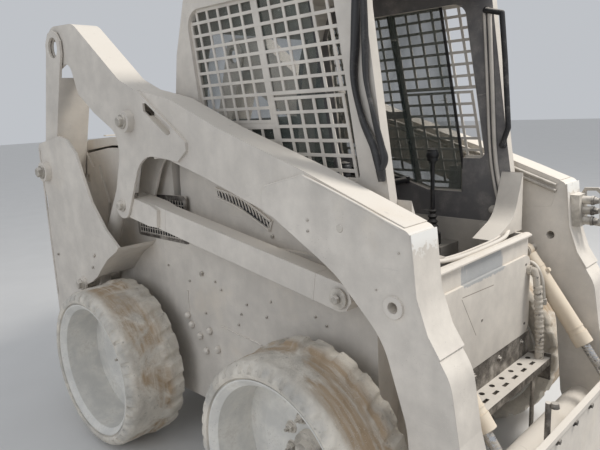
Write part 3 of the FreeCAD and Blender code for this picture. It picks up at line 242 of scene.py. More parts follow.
def leg_front_highlight(look, colour):
    """Painted highlight: bright white patches on the faces that look forward, high on the legs."""
    front = look.step(look.turned(0), 0.6, 0.9)
    high = look.step(look.place(2), 1.1, 1.19)
    # Painted highlight in patches on the forward faces of the legs' upper part
    highlight_patches = look.step(look.noise(42, 4, 0.6) * 0.7 + high * 0.3, 0.5, 0.54) * front * high
    return look.mix(highlight_patches * 0.8, colour, rgb(240, 240, 237))


def wheel_paint(name):
    """White wheel sheet, washed with dust and chipped at the flange."""
    look = Finish(name)
    cloud = look.noise(9, 5, 0.6)
    fine = look.noise(60, 4, 0.7)
    colour = look.mix(look.step(cloud, 0.35, 0.7), rgb(206, 204, 199), rgb(230, 227, 220))
    dirt = look.step(cloud * 0.6 + fine * 0.4, 0.52, 0.66)
    colour = look.mix(dirt * 0.5, colour, GREY_DUST)
    splash = look.step(look.cells(85), 0.2, 0.07) * look.step(look.noise(7, 3), 0.46, 0.6)
    colour = look.mix(splash * 0.55, colour, rgb(156, 150, 142))
    lip = look.step(look.distance(look.place(1), 0), 0.815, 0.821)
    worn = lip * look.step(look.noise(50, 4, 0.6), 0.42, 0.55)
    colour = look.mix(worn * 0.6, colour, rgb(118, 114, 110))
    normal = look.bump(fine * 0.6 + splash, 0.0015, 0.5, look.soft_edge(0.003))
    return look.set(Base_Color=colour, Roughness=0.62 + dirt * 0.3, Normal=normal)


def worn_steel(name, light=rgb(158, 152, 144), dark=rgb(92, 87, 82), dusting=0.8):
    look = Finish(name)
    cloud = look.noise(14, 6, 0.65)
    fine = look.noise(130, 4, 0.7)
    colour = look.mix(look.step(cloud, 0.38, 0.66), dark, light)
    dusted = look.step(look.turned(2) * 0.5 + cloud, 0.5, 0.9)
    colour = look.mix(dusted * dusting, colour, PALE_DUST)
    colour = look.mix(look.step(fine, 0.56, 0.68) * 0.4, colour, GREY_DUST)
    normal = look.bump(fine * 0.7 + cloud * 0.5, 0.0018, 0.5, look.soft_edge(0.002))
    return look.set(Base_Color=colour, Roughness=0.62 + dusted * 0.3,
                    Metallic=0.5 - dusted * 0.48, Normal=normal)


def rod_chrome(name):
    look = Finish(name)
    film = look.step(look.noise(40, 4, 0.6, stretch=(1, 1, 3)), 0.42, 0.62)
    colour = look.mix(film, rgb(205, 205, 206), rgb(182, 174, 162))
    return look.set(Base_Color=colour, Metallic=0.95 - film * 0.7, Roughness=0.16 + film * 0.5,
                    Normal=look.bump(film, 0.0004, 0.3))


def dusty_black(name, base=rgb(34, 34, 36), dust=0.55, rough=0.55, grain=180.0):
    """Black paint, plastic or rubber with dust lying in its grain and on what faces up."""
    look = Finish(name)
    cloud = look.noise(12, 5, 0.65)
    fine = look.noise(grain, 3, 0.6)
    up = look.step(look.turned(2), 0.2, 0.95)
    cover = look.step(cloud * 0.6 + fine * 0.25 + up * 0.3, 0.42, 0.75) * dust
    colour = look.mix(cover, base, GREY_DUST)
    normal = look.bump(fine, 0.0008, 0.5, look.soft_edge(0.0015))
    return look.set(Base_Color=colour, Roughness=rough + cover * 0.4, Normal=normal)


def caked_hose(name):
    """A hose wrapped in mud: pale lumps over dark rubber."""
    look = Finish(name)
    lumps = look.noise(46, 5, 0.7)
    caked = look.step(lumps, 0.34, 0.46)
    colour = look.mix(caked * 0.92, rgb(96, 91, 86), rgb(200, 192, 180))
    fine = look.noise(200, 3, 0.7)
    return look.set(Base_Color=colour, Roughness=0.9,
                    Normal=look.bump(lumps * 1.4 + fine * 0.4, 0.004, 0.8))


def tyre_rubber(name):
    """Worn rubber under a pale crust: tan where the tread runs, crumbly on the shoulders."""
    look = Finish(name)
    across = look.distance(look.place(1), 0)
    cloud = look.noise(7, 6, 0.65, warp=0.5)
    fine = look.noise(110, 5, 0.75)
    lumps = look.noise(34, 5, 0.68)
    colour = look.mix(look.step(cloud, 0.3, 0.66), rgb(190, 184, 174), rgb(224, 217, 205))
    tread = look.step(across, 0.585, 0.635) * look.step(across, 0.8, 0.745)
    packed = tread * look.step(look.noise(4.2, 5, 0.62, warp=0.8), 0.4, 0.56)
    streaks = look.noise(9, 5, 0.6, stretch=(0.5, 5, 0.5))
    colour = look.mix(packed * look.step(streaks, 0.22, 0.6), colour, TAN_DIRT)
    grit = look.step(look.cells(150), 0.26, 0.08) * look.step(look.noise(13, 4), 0.4, 0.56)
    colour = look.mix(grit * 0.6, colour, rgb(240, 235, 226))
    dark = look.step(lumps * 0.6 + fine * 0.4, 0.43, 0.36) * (1 - packed * 0.6)
    colour = look.mix(dark * 0.55, colour, rgb(122, 116, 108))
    side = look.step(across, 0.795, 0.815)
    damp = side * look.step(look.noise(6, 4, 0.6), 0.44, 0.6)
    colour = look.mix(damp * 0.35, colour, rgb(158, 160, 160))
    height = fine * 0.5 + lumps * 1.1 * (1 - packed * 0.7) + cloud * 0.8 + grit * 0.6
    return look.set(Base_Color=colour, Roughness=0.95, Specular_IOR_Level=0.2,
                    Normal=look.bump(height, 0.005, 0.75))


def lamp_lens(name):
    look = Finish(name)
    rings = look.noise(70, 2, 0.4)
    film = look.step(look.noise(16, 5, 0.6), 0.4, 0.65)
    colour = look.mix(film * 0.55, rgb(150, 28, 22), PALE_DUST)
    return look.set(Base_Color=colour, Roughness=0.3 + film * 0.55, Coat_Weight=0.5 - film * 0.4,
                    Normal=look.bump(rings, 0.001, 0.4))


def cab_glass(name):
    """A tinted pane under a dried film, scratched and spattered with cement."""
    look = Finish(name)
    film = look.step(look.noise(5, 5, 0.6, stretch=(1, 1, 0.7)), 0.35, 0.75)
    spatter = look.step(look.noise(38, 6, 0.75, warp=1.2), 0.63, 0.68) * look.step(
        look.noise(4.4, 3, 0.5), 0.5, 0.6)
    scratches = look.step(look.noise(24, 3, 0.5, stretch=(0.35, 1, 2.4)), 0.7, 0.72)
    marks = spatter + scratches * 0.5
    colour = look.mix(film * 0.5, rgb(70, 80, 76), rgb(128, 134, 128))
    colour = look.mix(marks, colour, rgb(214, 210, 202))
    return look.set(Base_Color=colour, Roughness=0.22 + film * 0.4,
                    Alpha=0.34 + film * 0.22 + marks * 0.5)


SHEET = dusty_sheet("dusty_sheet")
# Painted shade: a darker copy of the dusty sheet for the cab floor and the seat base inside the cab
INSIDE_SHADE_SHEET = dusty_sheet("inside_shade_sheet", under=rgb(128, 125, 122), over=rgb(172, 166, 157))
SCREEN_SHEET = dusty_sheet("screen_sheet", edge=0.0012)
# Cab walls, with painted shade on the faces that look into the cab
CAB_SHADED_SHEET = dusty_sheet("cab_shaded_sheet", extra=cab_inside_shade)
NOSE_SHEET = dusty_sheet("nose_sheet", extra=nose_marks)
# Legs, with a painted highlight on their forward faces high up
LEG_HIGHLIT_SHEET = dusty_sheet("leg_highlit_sheet", over=rgb(231, 224, 214), extra=leg_front_highlight)
TAN_SHEET = dusty_sheet("tan_sheet", under=rgb(206, 190, 168), over=rgb(226, 213, 194))
WHEEL = wheel_paint("wheel_paint")
STEEL = worn_steel("worn_steel")
DARK_STEEL = worn_steel("dark_steel", rgb(120, 114, 107), rgb(62, 59, 57), dusting=0.5)
CAKED_STEEL = worn_steel("caked_steel", rgb(204, 198, 188), rgb(166, 160, 151), dusting=0.9)
CHROME = rod_chrome("rod_chrome")
BLACK_PAINT = dusty_black("black_paint", dust=0.6)
PLASTIC = dusty_black("black_plastic", dust=0.35, rough=0.42)
RUBBER = dusty_black("black_rubber", base=rgb(44, 43, 44), dust=0.55, rough=0.5)
# Painted shade: the dark sheet set just behind the grilles and the vents
SHADE_BACKING = dusty_black("shade_backing", base=rgb(40, 40, 43), dust=0.3, rough=0.8)
VINYL = dusty_black("seat_vinyl", base=rgb(40, 40, 42), dust=0.5, rough=0.5, grain=420.0)
HOSE = caked_hose("caked_hose")
TYRE = tyre_rubber("tyre_rubber")
LENS = lamp_lens("lamp_lens")
GLASS = cab_glass("cab_glass")

FINISHES = {
    "dusty_paint": SHEET, "rim_paint": WHEEL, "tyre": TYRE, "bare_steel": STEEL,
    "cylinder_paint": SHEET, "rod_chrome": CHROME, "black_paint": BLACK_PAINT,
    "seat_vinyl": VINYL, "black_plastic": PLASTIC, "lamp_plastic": LENS, "hose_rubber": HOSE}

OWN_FINISH = {
    "cab_back": CAB_SHADED_SHEET, "cab_floor": INSIDE_SHADE_SHEET, "seat_base": INSIDE_SHADE_SHEET,
    "chassis": NOSE_SHEET, "front_panel": NOSE_SHEET, "engine_block": DARK_STEEL,
    "arm_leg_right": LEG_HIGHLIT_SHEET, "arm_leg_left": LEG_HIGHLIT_SHEET, "tilt_barrels": TAN_SHEET,
    "coupler_block": CAKED_STEEL, "arm_lines": CAKED_STEEL, "frame_pins": CAKED_STEEL,
    "arm_pins": CAKED_STEEL}


# Every node carried over takes the finish of its slot, or its own where it has one
for row in frame["record"]["subparts"]:
    materials = NODES[row["node"]].data.materials
    materials.clear()
    materials.append(OWN_FINISH.get(row["node"], FINISHES[row["material_slot"]]))


# Making pieces

SIDES = (("right", -1), ("left", 1))
SIGNS = (-1, 1)


def add_item(name, data):
    """Put a mesh, a camera or a light into the scene."""
    item = bpy.data.objects.new(name, data)
    bpy.context.scene.collection.objects.link(item)
    return item


def to_item(bm, name):
    """Turn a bmesh into an object of the scene."""
    mesh = bpy.data.meshes.new(name)
    bm.to_mesh(mesh)
    bm.free()
    return add_item(name, mesh)


def keep(bm, name, body, finish=SHEET, smooth=None):
    """Turn a bmesh into a piece that rides on a body. smooth is the angle of its hard edges."""
    bmesh.ops.recalc_face_normals(bm, faces=bm.faces)
    item = to_item(bm, name)
    item.data.materials.append(finish)
    if smooth:
        item.data.shade_smooth()
        item.data.set_sharp_from_angle(angle=math.radians(smooth))
    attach(item, body)
    return item


def keep_steel(bm, name, body, finish=CAKED_STEEL):
    keep(bm, name, body, finish, smooth=35)


def freeze(item):
    """Put the result of the modifiers into the mesh."""
    made = bpy.data.meshes.new_from_object(
        item.evaluated_get(bpy.context.evaluated_depsgraph_get()))
    item.modifiers.clear()
    item.data = made


def at(spot, across):
    """A place from its x and z and how far it is across."""
    return Vector((spot[0], across, spot[1]))


def turn_to(place, axis):
    """The matrix that takes +Z to the axis and the origin to the place."""
    turn = Vector(axis).to_track_quat("Z", "Y").to_matrix().to_4x4()
    return Matrix.Translation(Vector(place)) @ turn


def disc(bm, place, axis, radius, depth, end_radius=None, sides=24):
    """A short round piece that stands on the place and grows along the axis."""
    bmesh.ops.create_cone(bm, cap_ends=True, segments=sides, radius1=radius,
                          radius2=radius if end_radius is None else end_radius, depth=depth,
                          matrix=turn_to(place, axis) @ Matrix.Translation((0, 0, depth / 2)))


def turns_of(sides):
    """The angles of the points of a ring."""
    return [math.tau * side / sides for side in range(sides)]


def join_rings(bm, rings):
    """Faces between rings that have as many points each."""
    for first, second in zip(rings, rings[1:]):
        for side in range(len(first)):
            after = (side + 1) % len(first)
            bm.faces.new((first[side], first[after], second[after], second[side]))


def collar(bm, place, axis, inner, outer, depth, sides=28):
    """A ring round a tube, open on its inside."""
    matrix = turn_to(place, axis)
    join_rings(bm, [
        [bm.verts.new(matrix @ Vector((math.cos(turn) * radius, math.sin(turn) * radius, along)))
         for turn in turns_of(sides)]
        for along, radius in ((0, inner), (0, outer), (depth, outer), (depth, inner))])


def rod(bm, start, end, radius, end_radius=None, sides=16):
    """A straight round bar between two places."""
    way = Vector(end) - Vector(start)
    disc(bm, start, way, radius, way.length, end_radius, sides)


def box(bm, low, high, bevel=0.0):
    """A box between two corners, its edges rounded off."""
    low, high = Vector(low), Vector(high)
    made = bmesh.ops.create_cube(bm, size=1, matrix=Matrix.Translation((low + high) / 2)
                                 @ Matrix.Diagonal((*(high - low), 1)))
    if bevel:
        edges = list({edge for vert in made["verts"] for edge in vert.link_edges})
        bmesh.ops.bevel(bm, geom=edges, offset=bevel, segments=2, affect="EDGES", profile=0.5,
                        material=-1)


def slab(bm, outline, low, high):
    """A plate seen from the side: its outline in x and z, between two places across."""
    face = bm.faces.new([bm.verts.new((x, low, z)) for x, z in outline])
    grown = bmesh.ops.extrude_face_region(bm, geom=[face])["geom"]
    far_side = [part for part in grown if isinstance(part, bmesh.types.BMVert)]
    bmesh.ops.translate(bm, verts=far_side, vec=(0, high - low, 0))


def smooth_path(points, steps=8):
    """Points along a smooth line through the given ones."""
    points = [Vector(point) for point in points]
    padded = [points[0] * 2 - points[1]] + points + [points[-1] * 2 - points[-2]]
    path = []
    for first, second, third, fourth in zip(padded, padded[1:], padded[2:], padded[3:]):
        for step in range(steps):
            share = step / steps
            path.append(0.5 * (second * 2 + (third - first) * share
                               + (first * 2 - second * 5 + third * 4 - fourth) * share ** 2
                               + (second * 3 - first - third * 3 + fourth) * share ** 3))
    return path + [points[-1]]


def tube(bm, path, radius, sides=12, ripple=lambda number, turn: 0):
    """A closed tube along a path. ripple changes the radius by the ring's number and its turn."""
    rings = []
    across = (path[1] - path[0]).orthogonal()
    for number, place in enumerate(path):
        ahead = path[min(number + 1, len(path) - 1)] - path[max(number - 1, 0)]
        ahead.normalize()
        across = (across - ahead * across.dot(ahead)).normalized()
        above = ahead.cross(across)
        rings.append([
            bm.verts.new(place + (across * math.cos(turn) + above * math.sin(turn))
                         * (radius + ripple(number, turn))) for turn in turns_of(sides)])
    join_rings(bm, rings)
    bm.faces.new(rings[0][::-1])
    bm.faces.new(rings[-1])


def weld(bm, points, radius=0.0045):
    """A rippled bead of weld along straight runs."""
    points = [Vector(point) for point in points]
    path = []
    for first, second in zip(points, points[1:]):
        count = max(2, round((second - first).length / (radius * 0.9)))
        path += [first.lerp(second, step / count) for step in range(count)]
    tube(bm, path + [points[-1]], radius, 6,
         lambda number, turn: radius * 0.16 * math.sin(number * 1.7 + math.cos(turn)))


def bolt(bm, place, axis, width, washer=True):
    """A hexagon head, its width across the corners, on a washer."""
    at = Vector(place)
    out = Vector(axis).normalized()
    if washer:
        disc(bm, at, out, width * 0.72, width * 0.16, width * 0.68, 14)
    disc(bm, at + out * width * 0.16, out, width * 0.5, width * 0.36, sides=6)
    disc(bm, at + out * width * 0.52, out, width * 0.46, width * 0.05, width * 0.4, 6)


def spots(bm, table, across, sign, head=0.011):
    """Small bolt heads on a side, at x and z."""
    for x, z in table:
        bolt(bm, (x, across * sign, z), (0, sign, 0), head, washer=False)


# Wheels

WHEELBASE = 1.22
AXLE_HEIGHT = 0.387  # also the tyre's largest radius
LUGS = 22
LUG_STEPS = 16
LUG_HEIGHT = 0.014
LUG_LEAN = 2.4
TREAD_START, TREAD_FULL = 0.352, 0.369  # the radii between which the lugs grow
TYRE_IN, TYRE_OUT = 0.542, 0.822
TYRE_SECTION = [
    # radius, place across
    (0.2963, 0.568), (0.3135, 0.553), (0.333, 0.5435), (0.339, 0.542), (0.356, 0.5455),
    (0.369, 0.554), (0.373, 0.6), (0.373, 0.652), (0.3735, 0.72), (0.371, 0.785),
    (0.364, 0.803), (0.352, 0.815), (0.335, 0.8215), (0.322, 0.8185), (0.3195, 0.8105),
    (0.314, 0.8095), (0.2963, 0.7965)]
DISC_FACE = 0.606
NUTS, NUT_CIRCLE = 8, 0.1016


def smooth_step(value, low, high):
    share = min(1, max(0, (value - low) / (high - low)))
    return share * share * (3 - 2 * share)


def fractal(place):
    """Rough noise from about -1 to 1."""
    return noise.fractal(place, 0.9, 2.1, 4)


def split_edges(bm, longer, cuts):
    edges = [edge for edge in bm.edges if edge.calc_length() > longer]
    bmesh.ops.subdivide_edges(bm, edges=edges, cuts=cuts)


def tyre(name, x, sign):
    """A solid tyre, worn smooth outboard, its lugs left ragged on the inner shoulder."""
    phase = random.random()
    drift = Vector([random.uniform(0, 50) for _ in range(3)])
    bm = bmesh.new()
    verts = [bm.verts.new((radius, across * sign, 0)) for radius, across in TYRE_SECTION]
    for pair in zip(verts, verts[1:]):
        bm.edges.new(pair)
    split_edges(bm, 0.03, 6)
    split_edges(bm, 0.012, 1)
    bmesh.ops.spin(bm, geom=bm.verts[:] + bm.edges[:], cent=(0, 0, 0), axis=(0, 1, 0),
                   angle=math.tau, steps=LUGS * LUG_STEPS, use_merge=True, use_duplicate=False)
    bmesh.ops.remove_doubles(bm, verts=bm.verts, dist=0.00002)
    for vert in bm.verts:
        across = abs(vert.co.y)
        radius = math.hypot(vert.co.x, vert.co.z)
        angle = math.atan2(vert.co.z, vert.co.x)
        outward = Vector((vert.co.x / radius, 0, vert.co.z / radius))
        rough = fractal(vert.co * 14 + drift)
        inboard = 1 - smooth_step(across + rough * 0.012, TYRE_IN + 0.075, TYRE_IN + 0.118)
        turn = (angle / math.tau * LUGS + phase + (across - TYRE_IN) * LUG_LEAN) % 1
        lug = smooth_step(turn, 0.1, 0.2) * (1 - smooth_step(turn, 0.8, 0.9))
        tread = smooth_step(radius, TREAD_START, TREAD_FULL)
        rise = LUG_HEIGHT * lug * inboard * tread * (0.8 + 0.2 * rough)
        rise += 0.002 * fractal(vert.co * 40 + drift) * smooth_step(radius, 0.34, 0.37)
        notch_turn = (angle / math.tau * LUGS * 2 + phase) % 1
        notch = smooth_step(notch_turn, 0.3, 0.36) * (1 - smooth_step(notch_turn, 0.56, 0.62))
        outer = smooth_step(across, TYRE_OUT - 0.03, TYRE_OUT - 0.018) * smooth_step(
            radius, 0.336, 0.343)
        push = -0.011 * notch * outer * (0.6 + 0.4 * rough)
        rise = min(rise, AXLE_HEIGHT - radius)
        vert.co += outward * (rise + push)
        vert.co.y += push * sign * 0.8
    bmesh.ops.translate(bm, verts=bm.verts, vec=(x, 0, AXLE_HEIGHT))
    label = "tyre_" + name
    item = keep(bm, label + "_worn", "wheel_" + name, TYRE, smooth=50)
    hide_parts(label)


def wheel_fittings(name, x, sign):
    """Nuts on their studs and the hub cap on the wheel disc."""
    bm = bmesh.new()
    out = Vector((0, sign, 0))
    centre = Vector((x, DISC_FACE * sign, AXLE_HEIGHT))
    for number in range(NUTS):
        turn = math.tau * (number + 0.5) / NUTS
        spot = centre + Vector((math.cos(turn), 0, math.sin(turn))) * NUT_CIRCLE
        bolt(bm, spot, out, 0.034)
        disc(bm, spot + out * 0.017, out, 0.0075, 0.018, 0.0065, 10)
    disc(bm, centre - out * 0.0002, out, 0.062, 0.026, 0.058, 32)
    disc(bm, centre + out * 0.021, out, 0.034, 0.03, 0.03)
    keep_steel(bm, "wheel_nuts_" + name, "wheel_" + name)


def wheels():
    for end, x in (("front", WHEELBASE / 2), ("rear", -WHEELBASE / 2)):
        for side, sign in SIDES:
            tyre(end + "_" + side, x, sign)
            wheel_fittings(end + "_" + side, x, sign)


# Cab

WINDOW_LOW, WINDOW_TOP = 1.15, 1.95
WINDOW = [(-0.066, 1.3), (0.45, WINDOW_LOW), (0.622, WINDOW_LOW), (0.626, 1.298),
          (0.732, 1.3), (0.628, 1.945), (-0.15, WINDOW_TOP)]
WINDOW_EDGES = [(Vector(start), Vector(end))
                for start, end in zip(WINDOW, WINDOW[1:] + WINDOW[:1])]
SILL_CUT = [(-0.062, 1.305), (0.448, WINDOW_LOW), (0.622, WINDOW_LOW), (0.626, 1.3015)]
POST_CUT = [(1.0, 1.02), (0.862, 1.02), (0.853, 1.19), (0.829, 1.35), (0.748, 1.95),
            (0.738, 2.04), (1.0, 2.04)]
SEAM, SEAM_HALF, LEAN = 0.24, 0.016, 0.19
HOLE_WIDE, HOLE_HIGH, BAR = 0.055, 0.038, 0.0115
SCREEN_FACE = 0.4295
SCREEN_ROWS = [
    # way from the seam, upper edge of the first row, rows, columns
    (-1, 1.942, 9, 7), (-1, 1.474, 5, 7), (1, 1.942, 7, 7), (1, 1.576, 8, 5)]
SCREEN_BANDS = [
    # way from the seam, upper edge, lower edge
    (-1, 1.508, 1.474), (1, 1.6085, 1.5945)]
REAR_PANE = [(-0.146, 1.944), (0.256, 1.944), (0.384, 1.176), (-0.058, 1.303)]
FRONT_PANE = [(0.225, 1.944), (0.508, 1.944), (0.614, 1.32), (0.612, 1.158), (0.452, 1.158),
              (0.366, 1.182)]
RIDGE = [(0.742, 0.398, 1.9), (0.76, 0.398, 1.62), (0.778, 0.398, 1.34),
         (0.8, 0.397, 1.2), (0.836, 0.38, 1.095), (0.872, 0.335, 1.035),
         (0.905, 0.255, 1.019), (0.925, 0.15, 1.016), (0.93, 0, 1.016)]
SEAL_ACROSS = -0.462
SEAL_LINES = [
    # points in x and z, radius
    ([(0.742, 1.9), (0.734, 1.742), (0.726, 1.624), (0.754, 1.506), (0.798, 1.417),
      (0.823, 1.34)], 0.012),
    ([(0.77, 1.9), (0.772, 1.737), (0.774, 1.62), (0.8, 1.511), (0.826, 1.423),
      (0.838, 1.378), (0.823, 1.337)], 0.0095)]


def carve(node, name, cutters, finish):
    """A copy of a node's mesh, less the cutters, that stands for the node."""
    item = add_item(name, NODES[node].data.copy())
    bm = bmesh.new()
    for outline, low, high in cutters:
        slab(bm, outline, low, high)
    bmesh.ops.recalc_face_normals(bm, faces=bm.faces)
    cutter = to_item(bm, name + "_cutter")
    change = item.modifiers.new("carve", "BOOLEAN")
    change.operation, change.solver, change.object = "DIFFERENCE", "EXACT", cutter
    freeze(item)
    bpy.data.objects.remove(cutter)
    item.data.materials.clear()
    item.data.materials.append(finish)
    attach(item, "frame")
    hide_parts(node)


def spans(start, way):
    """The runs of a line that lie inside the window, each as two shares of it."""
    cuts = [0.0, 1.0]
    for first, second in WINDOW_EDGES:
        edge, gap = second - first, first - start
        across = way.cross(edge)
        if abs(across) > 1e-9:
            share, along = gap.cross(edge) / across, gap.cross(way) / across
            if 0 <= along <= 1 and 0 < share < 1:
                cuts.append(share)
    cuts.sort()
    return [(low, high) for low, high in zip(cuts, cuts[1:])
            if high - low > 0.01 and in_window(*(start + way * (low + high) / 2))]


def in_window(x, z):
    """Whether a place lies inside the window's outline, by the edges that it passes."""
    inside = False
    for (ax, az), (bx, bz) in WINDOW_EDGES:
        if (az > z) != (bz > z) and x < ax + (bx - ax) * (z - az) / (bz - az):
            inside = not inside
    return inside


def strip(bm, start, end, wide, low, high):
    """A flat bar of the screen, cut off where it leaves the window."""
    start = Vector(start)
    way = Vector(end) - start
    side = way.orthogonal().normalized() * wide / 2
    for shares in spans(start, way):
        first, last = [start + way * share for share in shares]
        slab(bm, [first - side, last - side, last + side, first + side], low, high)


def seam_at(z):
    """Where the leaning seam of the screen runs at a height."""
    return SEAM + LEAN * (WINDOW_TOP - z)


def screen(side, sign):
    """The stamped screen of a window: leaning bars, level bars, a seam and a rim.

    Each kind of bar has its own thickness, so that no two faces fall together.
    """
    bm = bmesh.new()
    face = SCREEN_FACE * sign

    def bar(start, end, wide, half):
        strip(bm, start, end, wide, face - half, face + half)

    for way, first, rows, columns in SCREEN_ROWS:
        pitch = HOLE_HIGH + BAR
        low = first - rows * pitch + BAR
        for row in range(rows + 1):
            z = first - row * pitch + BAR / 2
            reach = SEAM_HALF + columns * (HOLE_WIDE + BAR) + (0.3 if columns == 7 else 0)
            bar((seam_at(z), z), (seam_at(z) + way * reach, z), BAR, 0.0025)
        for column in range(columns + 1):
            offset = way * (SEAM_HALF + column * (HOLE_WIDE + BAR) - BAR / 2)
            bar((seam_at(first) + offset, first), (seam_at(low) + offset, low), BAR, 0.0021)
    bar((seam_at(WINDOW_TOP), WINDOW_TOP), (seam_at(WINDOW_LOW), WINDOW_LOW),
        SEAM_HALF * 2 + 0.002, 0.0018)
    for way, high, low in SCREEN_BANDS:
        middle = (high + low) / 2
        bar((seam_at(middle), middle), (seam_at(middle) + way * 0.6, middle), high - low, 0.0016)
    for start, end in WINDOW_EDGES:
        inward = (end - start).orthogonal().normalized() * 0.012
        slab(bm, [start, end, end + inward, start + inward], face - 0.0028, face + 0.0028)
    slab(bm, [(0.545, 1.16), (0.618, 1.16), (0.622, 1.262), (0.548, 1.262)],
         face - 0.0014, face + 0.0014)
    piece = keep(bm, "screen_" + side, "frame", SCREEN_SHEET)
    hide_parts("side_screen_" + side)


def panes(side, sign):
    """A fixed rear pane and a front pane that is slid half open."""
    bm = bmesh.new()
    slab(bm, REAR_PANE, 0.412 * sign, 0.416 * sign)
    slab(bm, FRONT_PANE, 0.419 * sign, 0.423 * sign)
    keep(bm, "window_panes_" + side, "frame", GLASS)
    bm = bmesh.new()
    for x_top, x_low in ((0.505, 0.623), (0.228, 0.368)):
        strip(bm, (x_top, 1.944), (x_low, 1.25), 0.012, 0.4175 * sign, 0.4245 * sign)
    keep(bm, "pane_edges_" + side, "frame", RUBBER)


def door_ridge():
    """The raised ridge that runs down both posts and along the sill, and its knobs."""
    bm = bmesh.new()
    points = RIDGE + [(x, -y, z) for x, y, z in reversed(RIDGE[:-1])]
    for inset, radius in ((0, 0.0085), (0.022, 0.006)):
        tube(bm, smooth_path([(x - inset, y, z) for x, y, z in points], 6), radius, 10)
    for sign in SIGNS:
        disc(bm, (0.775, 0.407 * sign, 1.085), (0, -sign, 0), 0.019, 0.022, 0.015, 16)
        disc(bm, (0.775, 0.385 * sign, 1.085), (0, -sign, 0), 0.015, 0.006, 0.008, 16)
    keep(bm, "door_ridge", "frame", smooth=40)


def door_seal():
    """The rubber seal of the missing door, torn loose along the right post."""
    bm = bmesh.new()
    for line, radius in SEAL_LINES:
        tube(bm, smooth_path([(x, SEAL_ACROSS, z) for x, z in line]), radius, 10,
             lambda number, turn: 0.0022 * math.sin(turn * 2 + number * 0.21))
    disc(bm, (0.8225, SEAL_ACROSS, 1.345), (0.1, 0, -1), 0.016, 0.035, 0.011, 12)
    keep(bm, "door_seal", "frame", RUBBER, smooth=60)


def cab():
    """Sides with the posts and the window's lower edge cut back, screens, panes and doorway."""
    for side, sign in SIDES:
        low, high = sorted((0.395 * sign, 0.46 * sign))
        carve("cab_side_" + side, "cab_wall_" + side,
              [(POST_CUT, low, high), (SILL_CUT, low, high)], CAB_SHADED_SHEET)
        screen(side, sign)
        panes(side, sign)
    door_ridge()
    door_seal()


def levers():
    """Round knobs and folded boots on the two control levers."""
    bm = bmesh.new()
    for sign in SIGNS:
        x, y = 0.54, 0.3 * sign
        bmesh.ops.create_uvsphere(bm, u_segments=20, v_segments=12, radius=0.0275,
                                  matrix=Matrix.Translation((x, y, 1.322)))
        disc(bm, (x, y, 1.284), (0, 0, 1), 0.014, 0.02, 0.018, 16)
        folds = [Vector((x, y, 0.93 + 0.006 * ring)) for ring in range(26)]
        tube(bm, folds, 0.03, 20, lambda number, turn: -0.00062 * number
             + 0.0042 * math.cos(number * math.pi / 2))
    keep(bm, "lever_knobs", "frame", PLASTIC, smooth=50)


def pad(name, node, low, high, swell):
    """A vinyl cushion: swelled by cloth pressure, with a welted edge and sewn channels."""
    bm = bmesh.new()
    room = Vector((swell, swell, swell * 0.5))
    box(bm, Vector(low) + room, Vector(high) - room, 0.022)
    item = to_item(bm, name)
    remesh = item.modifiers.new("even", "REMESH")
    remesh.mode, remesh.voxel_size = "VOXEL", 0.008
    freeze(item)
    before = [vert.co.copy() for vert in item.data.vertices]
    cloth = item.modifiers.new("swell", "CLOTH")
    cloth.settings.use_pressure = True
    cloth.settings.uniform_pressure_force = 4
    cloth.settings.effector_weights.gravity = 0
    for number in range(1, 21):
        bpy.context.scene.frame_set(number)
    freeze(item)
    bpy.context.scene.frame_set(1)
    for vert, start in zip(item.data.vertices, before):
        moved = vert.co - start
        if moved.length > swell:
            vert.co = start + moved.normalized() * swell
        for axis in range(3):
            vert.co[axis] = min(max(vert.co[axis], low[axis]), high[axis] + 0.004)
    thick = min(range(3), key=lambda axis: high[axis] - low[axis])
    across = 1 if thick == 2 else 2
    middle, half = (low[across] + high[across]) / 2, (high[across] - low[across]) / 2
    centre = (low[thick] + high[thick]) / 2
    for vert in item.data.vertices:
        share = (vert.co[across] - middle) / half
        groove = max(math.exp(-((share - line) * half / 0.006) ** 2)
                     for line in (-0.45, 0, 0.45))
        if vert.co[thick] > centre + 0.01:
            vert.co[thick] -= 0.007 * groove
    item.data.materials.append(VINYL)
    item.data.shade_smooth()
    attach(item, "frame")
    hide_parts(node)


def seat():
    pad("seat_pad", "seat_cushion", (-0.15, -0.235, 0.98), (0.3, 0.235, 1.08), 0.012)
    pad("back_pad", "seat_back", (-0.24, -0.23, 0.98), (-0.151, 0.23, 1.525), 0.012)


# Frame, arms and engine

CHASSIS_SPOTS = [(-0.251, 0.8), (-0.061, 0.829), (-0.023, 0.799), (0.285, 0.809), (0.14, 0.767),
                 (0.101, 0.717), (0.257, 0.739), (0.08, 0.666), (-0.146, 0.668), (0.522, 0.8),
                 (0.576, 0.778), (-0.414, 0.848)]
MUD_LUMPS = [(-0.284, 0.63), (-0.259, 0.589), (-0.127, 0.588), (-0.199, 0.548), (-0.159, 0.486),
             (-0.074, 0.515)]
LAP_LINE = [(0.64, 1.34), (0.455, 1.292), (0.441, 1.277), (0.438, 1.222), (0.446, 1.207),
            (0.494, 1.194)]
ARM_TOP = [(-0.3, 1.6), (0.0, 1.522), (0.32, 1.4295), (0.64, 1.337), (0.86, 1.262),
           (1.0, 1.207)]
LEG_RIB = [(1.037, 1.196), (1.054, 1.021), (1.089, 0.917), (1.128, 0.858), (1.132, 0.861),
           (1.094, 0.92), (1.0585, 1.022), (1.0415, 1.1965)]
LINK_REAR, LINK_FRONT = (-0.495, 1.151), (0.757, 0.955)
LIFT_FOOT, LIFT_HEAD = (-0.9, 0.72), (-0.365, 1.523)
TILT_TOP, TILT_LOW = (0.913, 0.917), (1.27, 0.42)
CAB_FACE, CHASSIS_FACE, LINK_FACE, ARM_FACE, UPRIGHT_FACE = 0.447, 0.464, 0.606, 0.626, 0.662
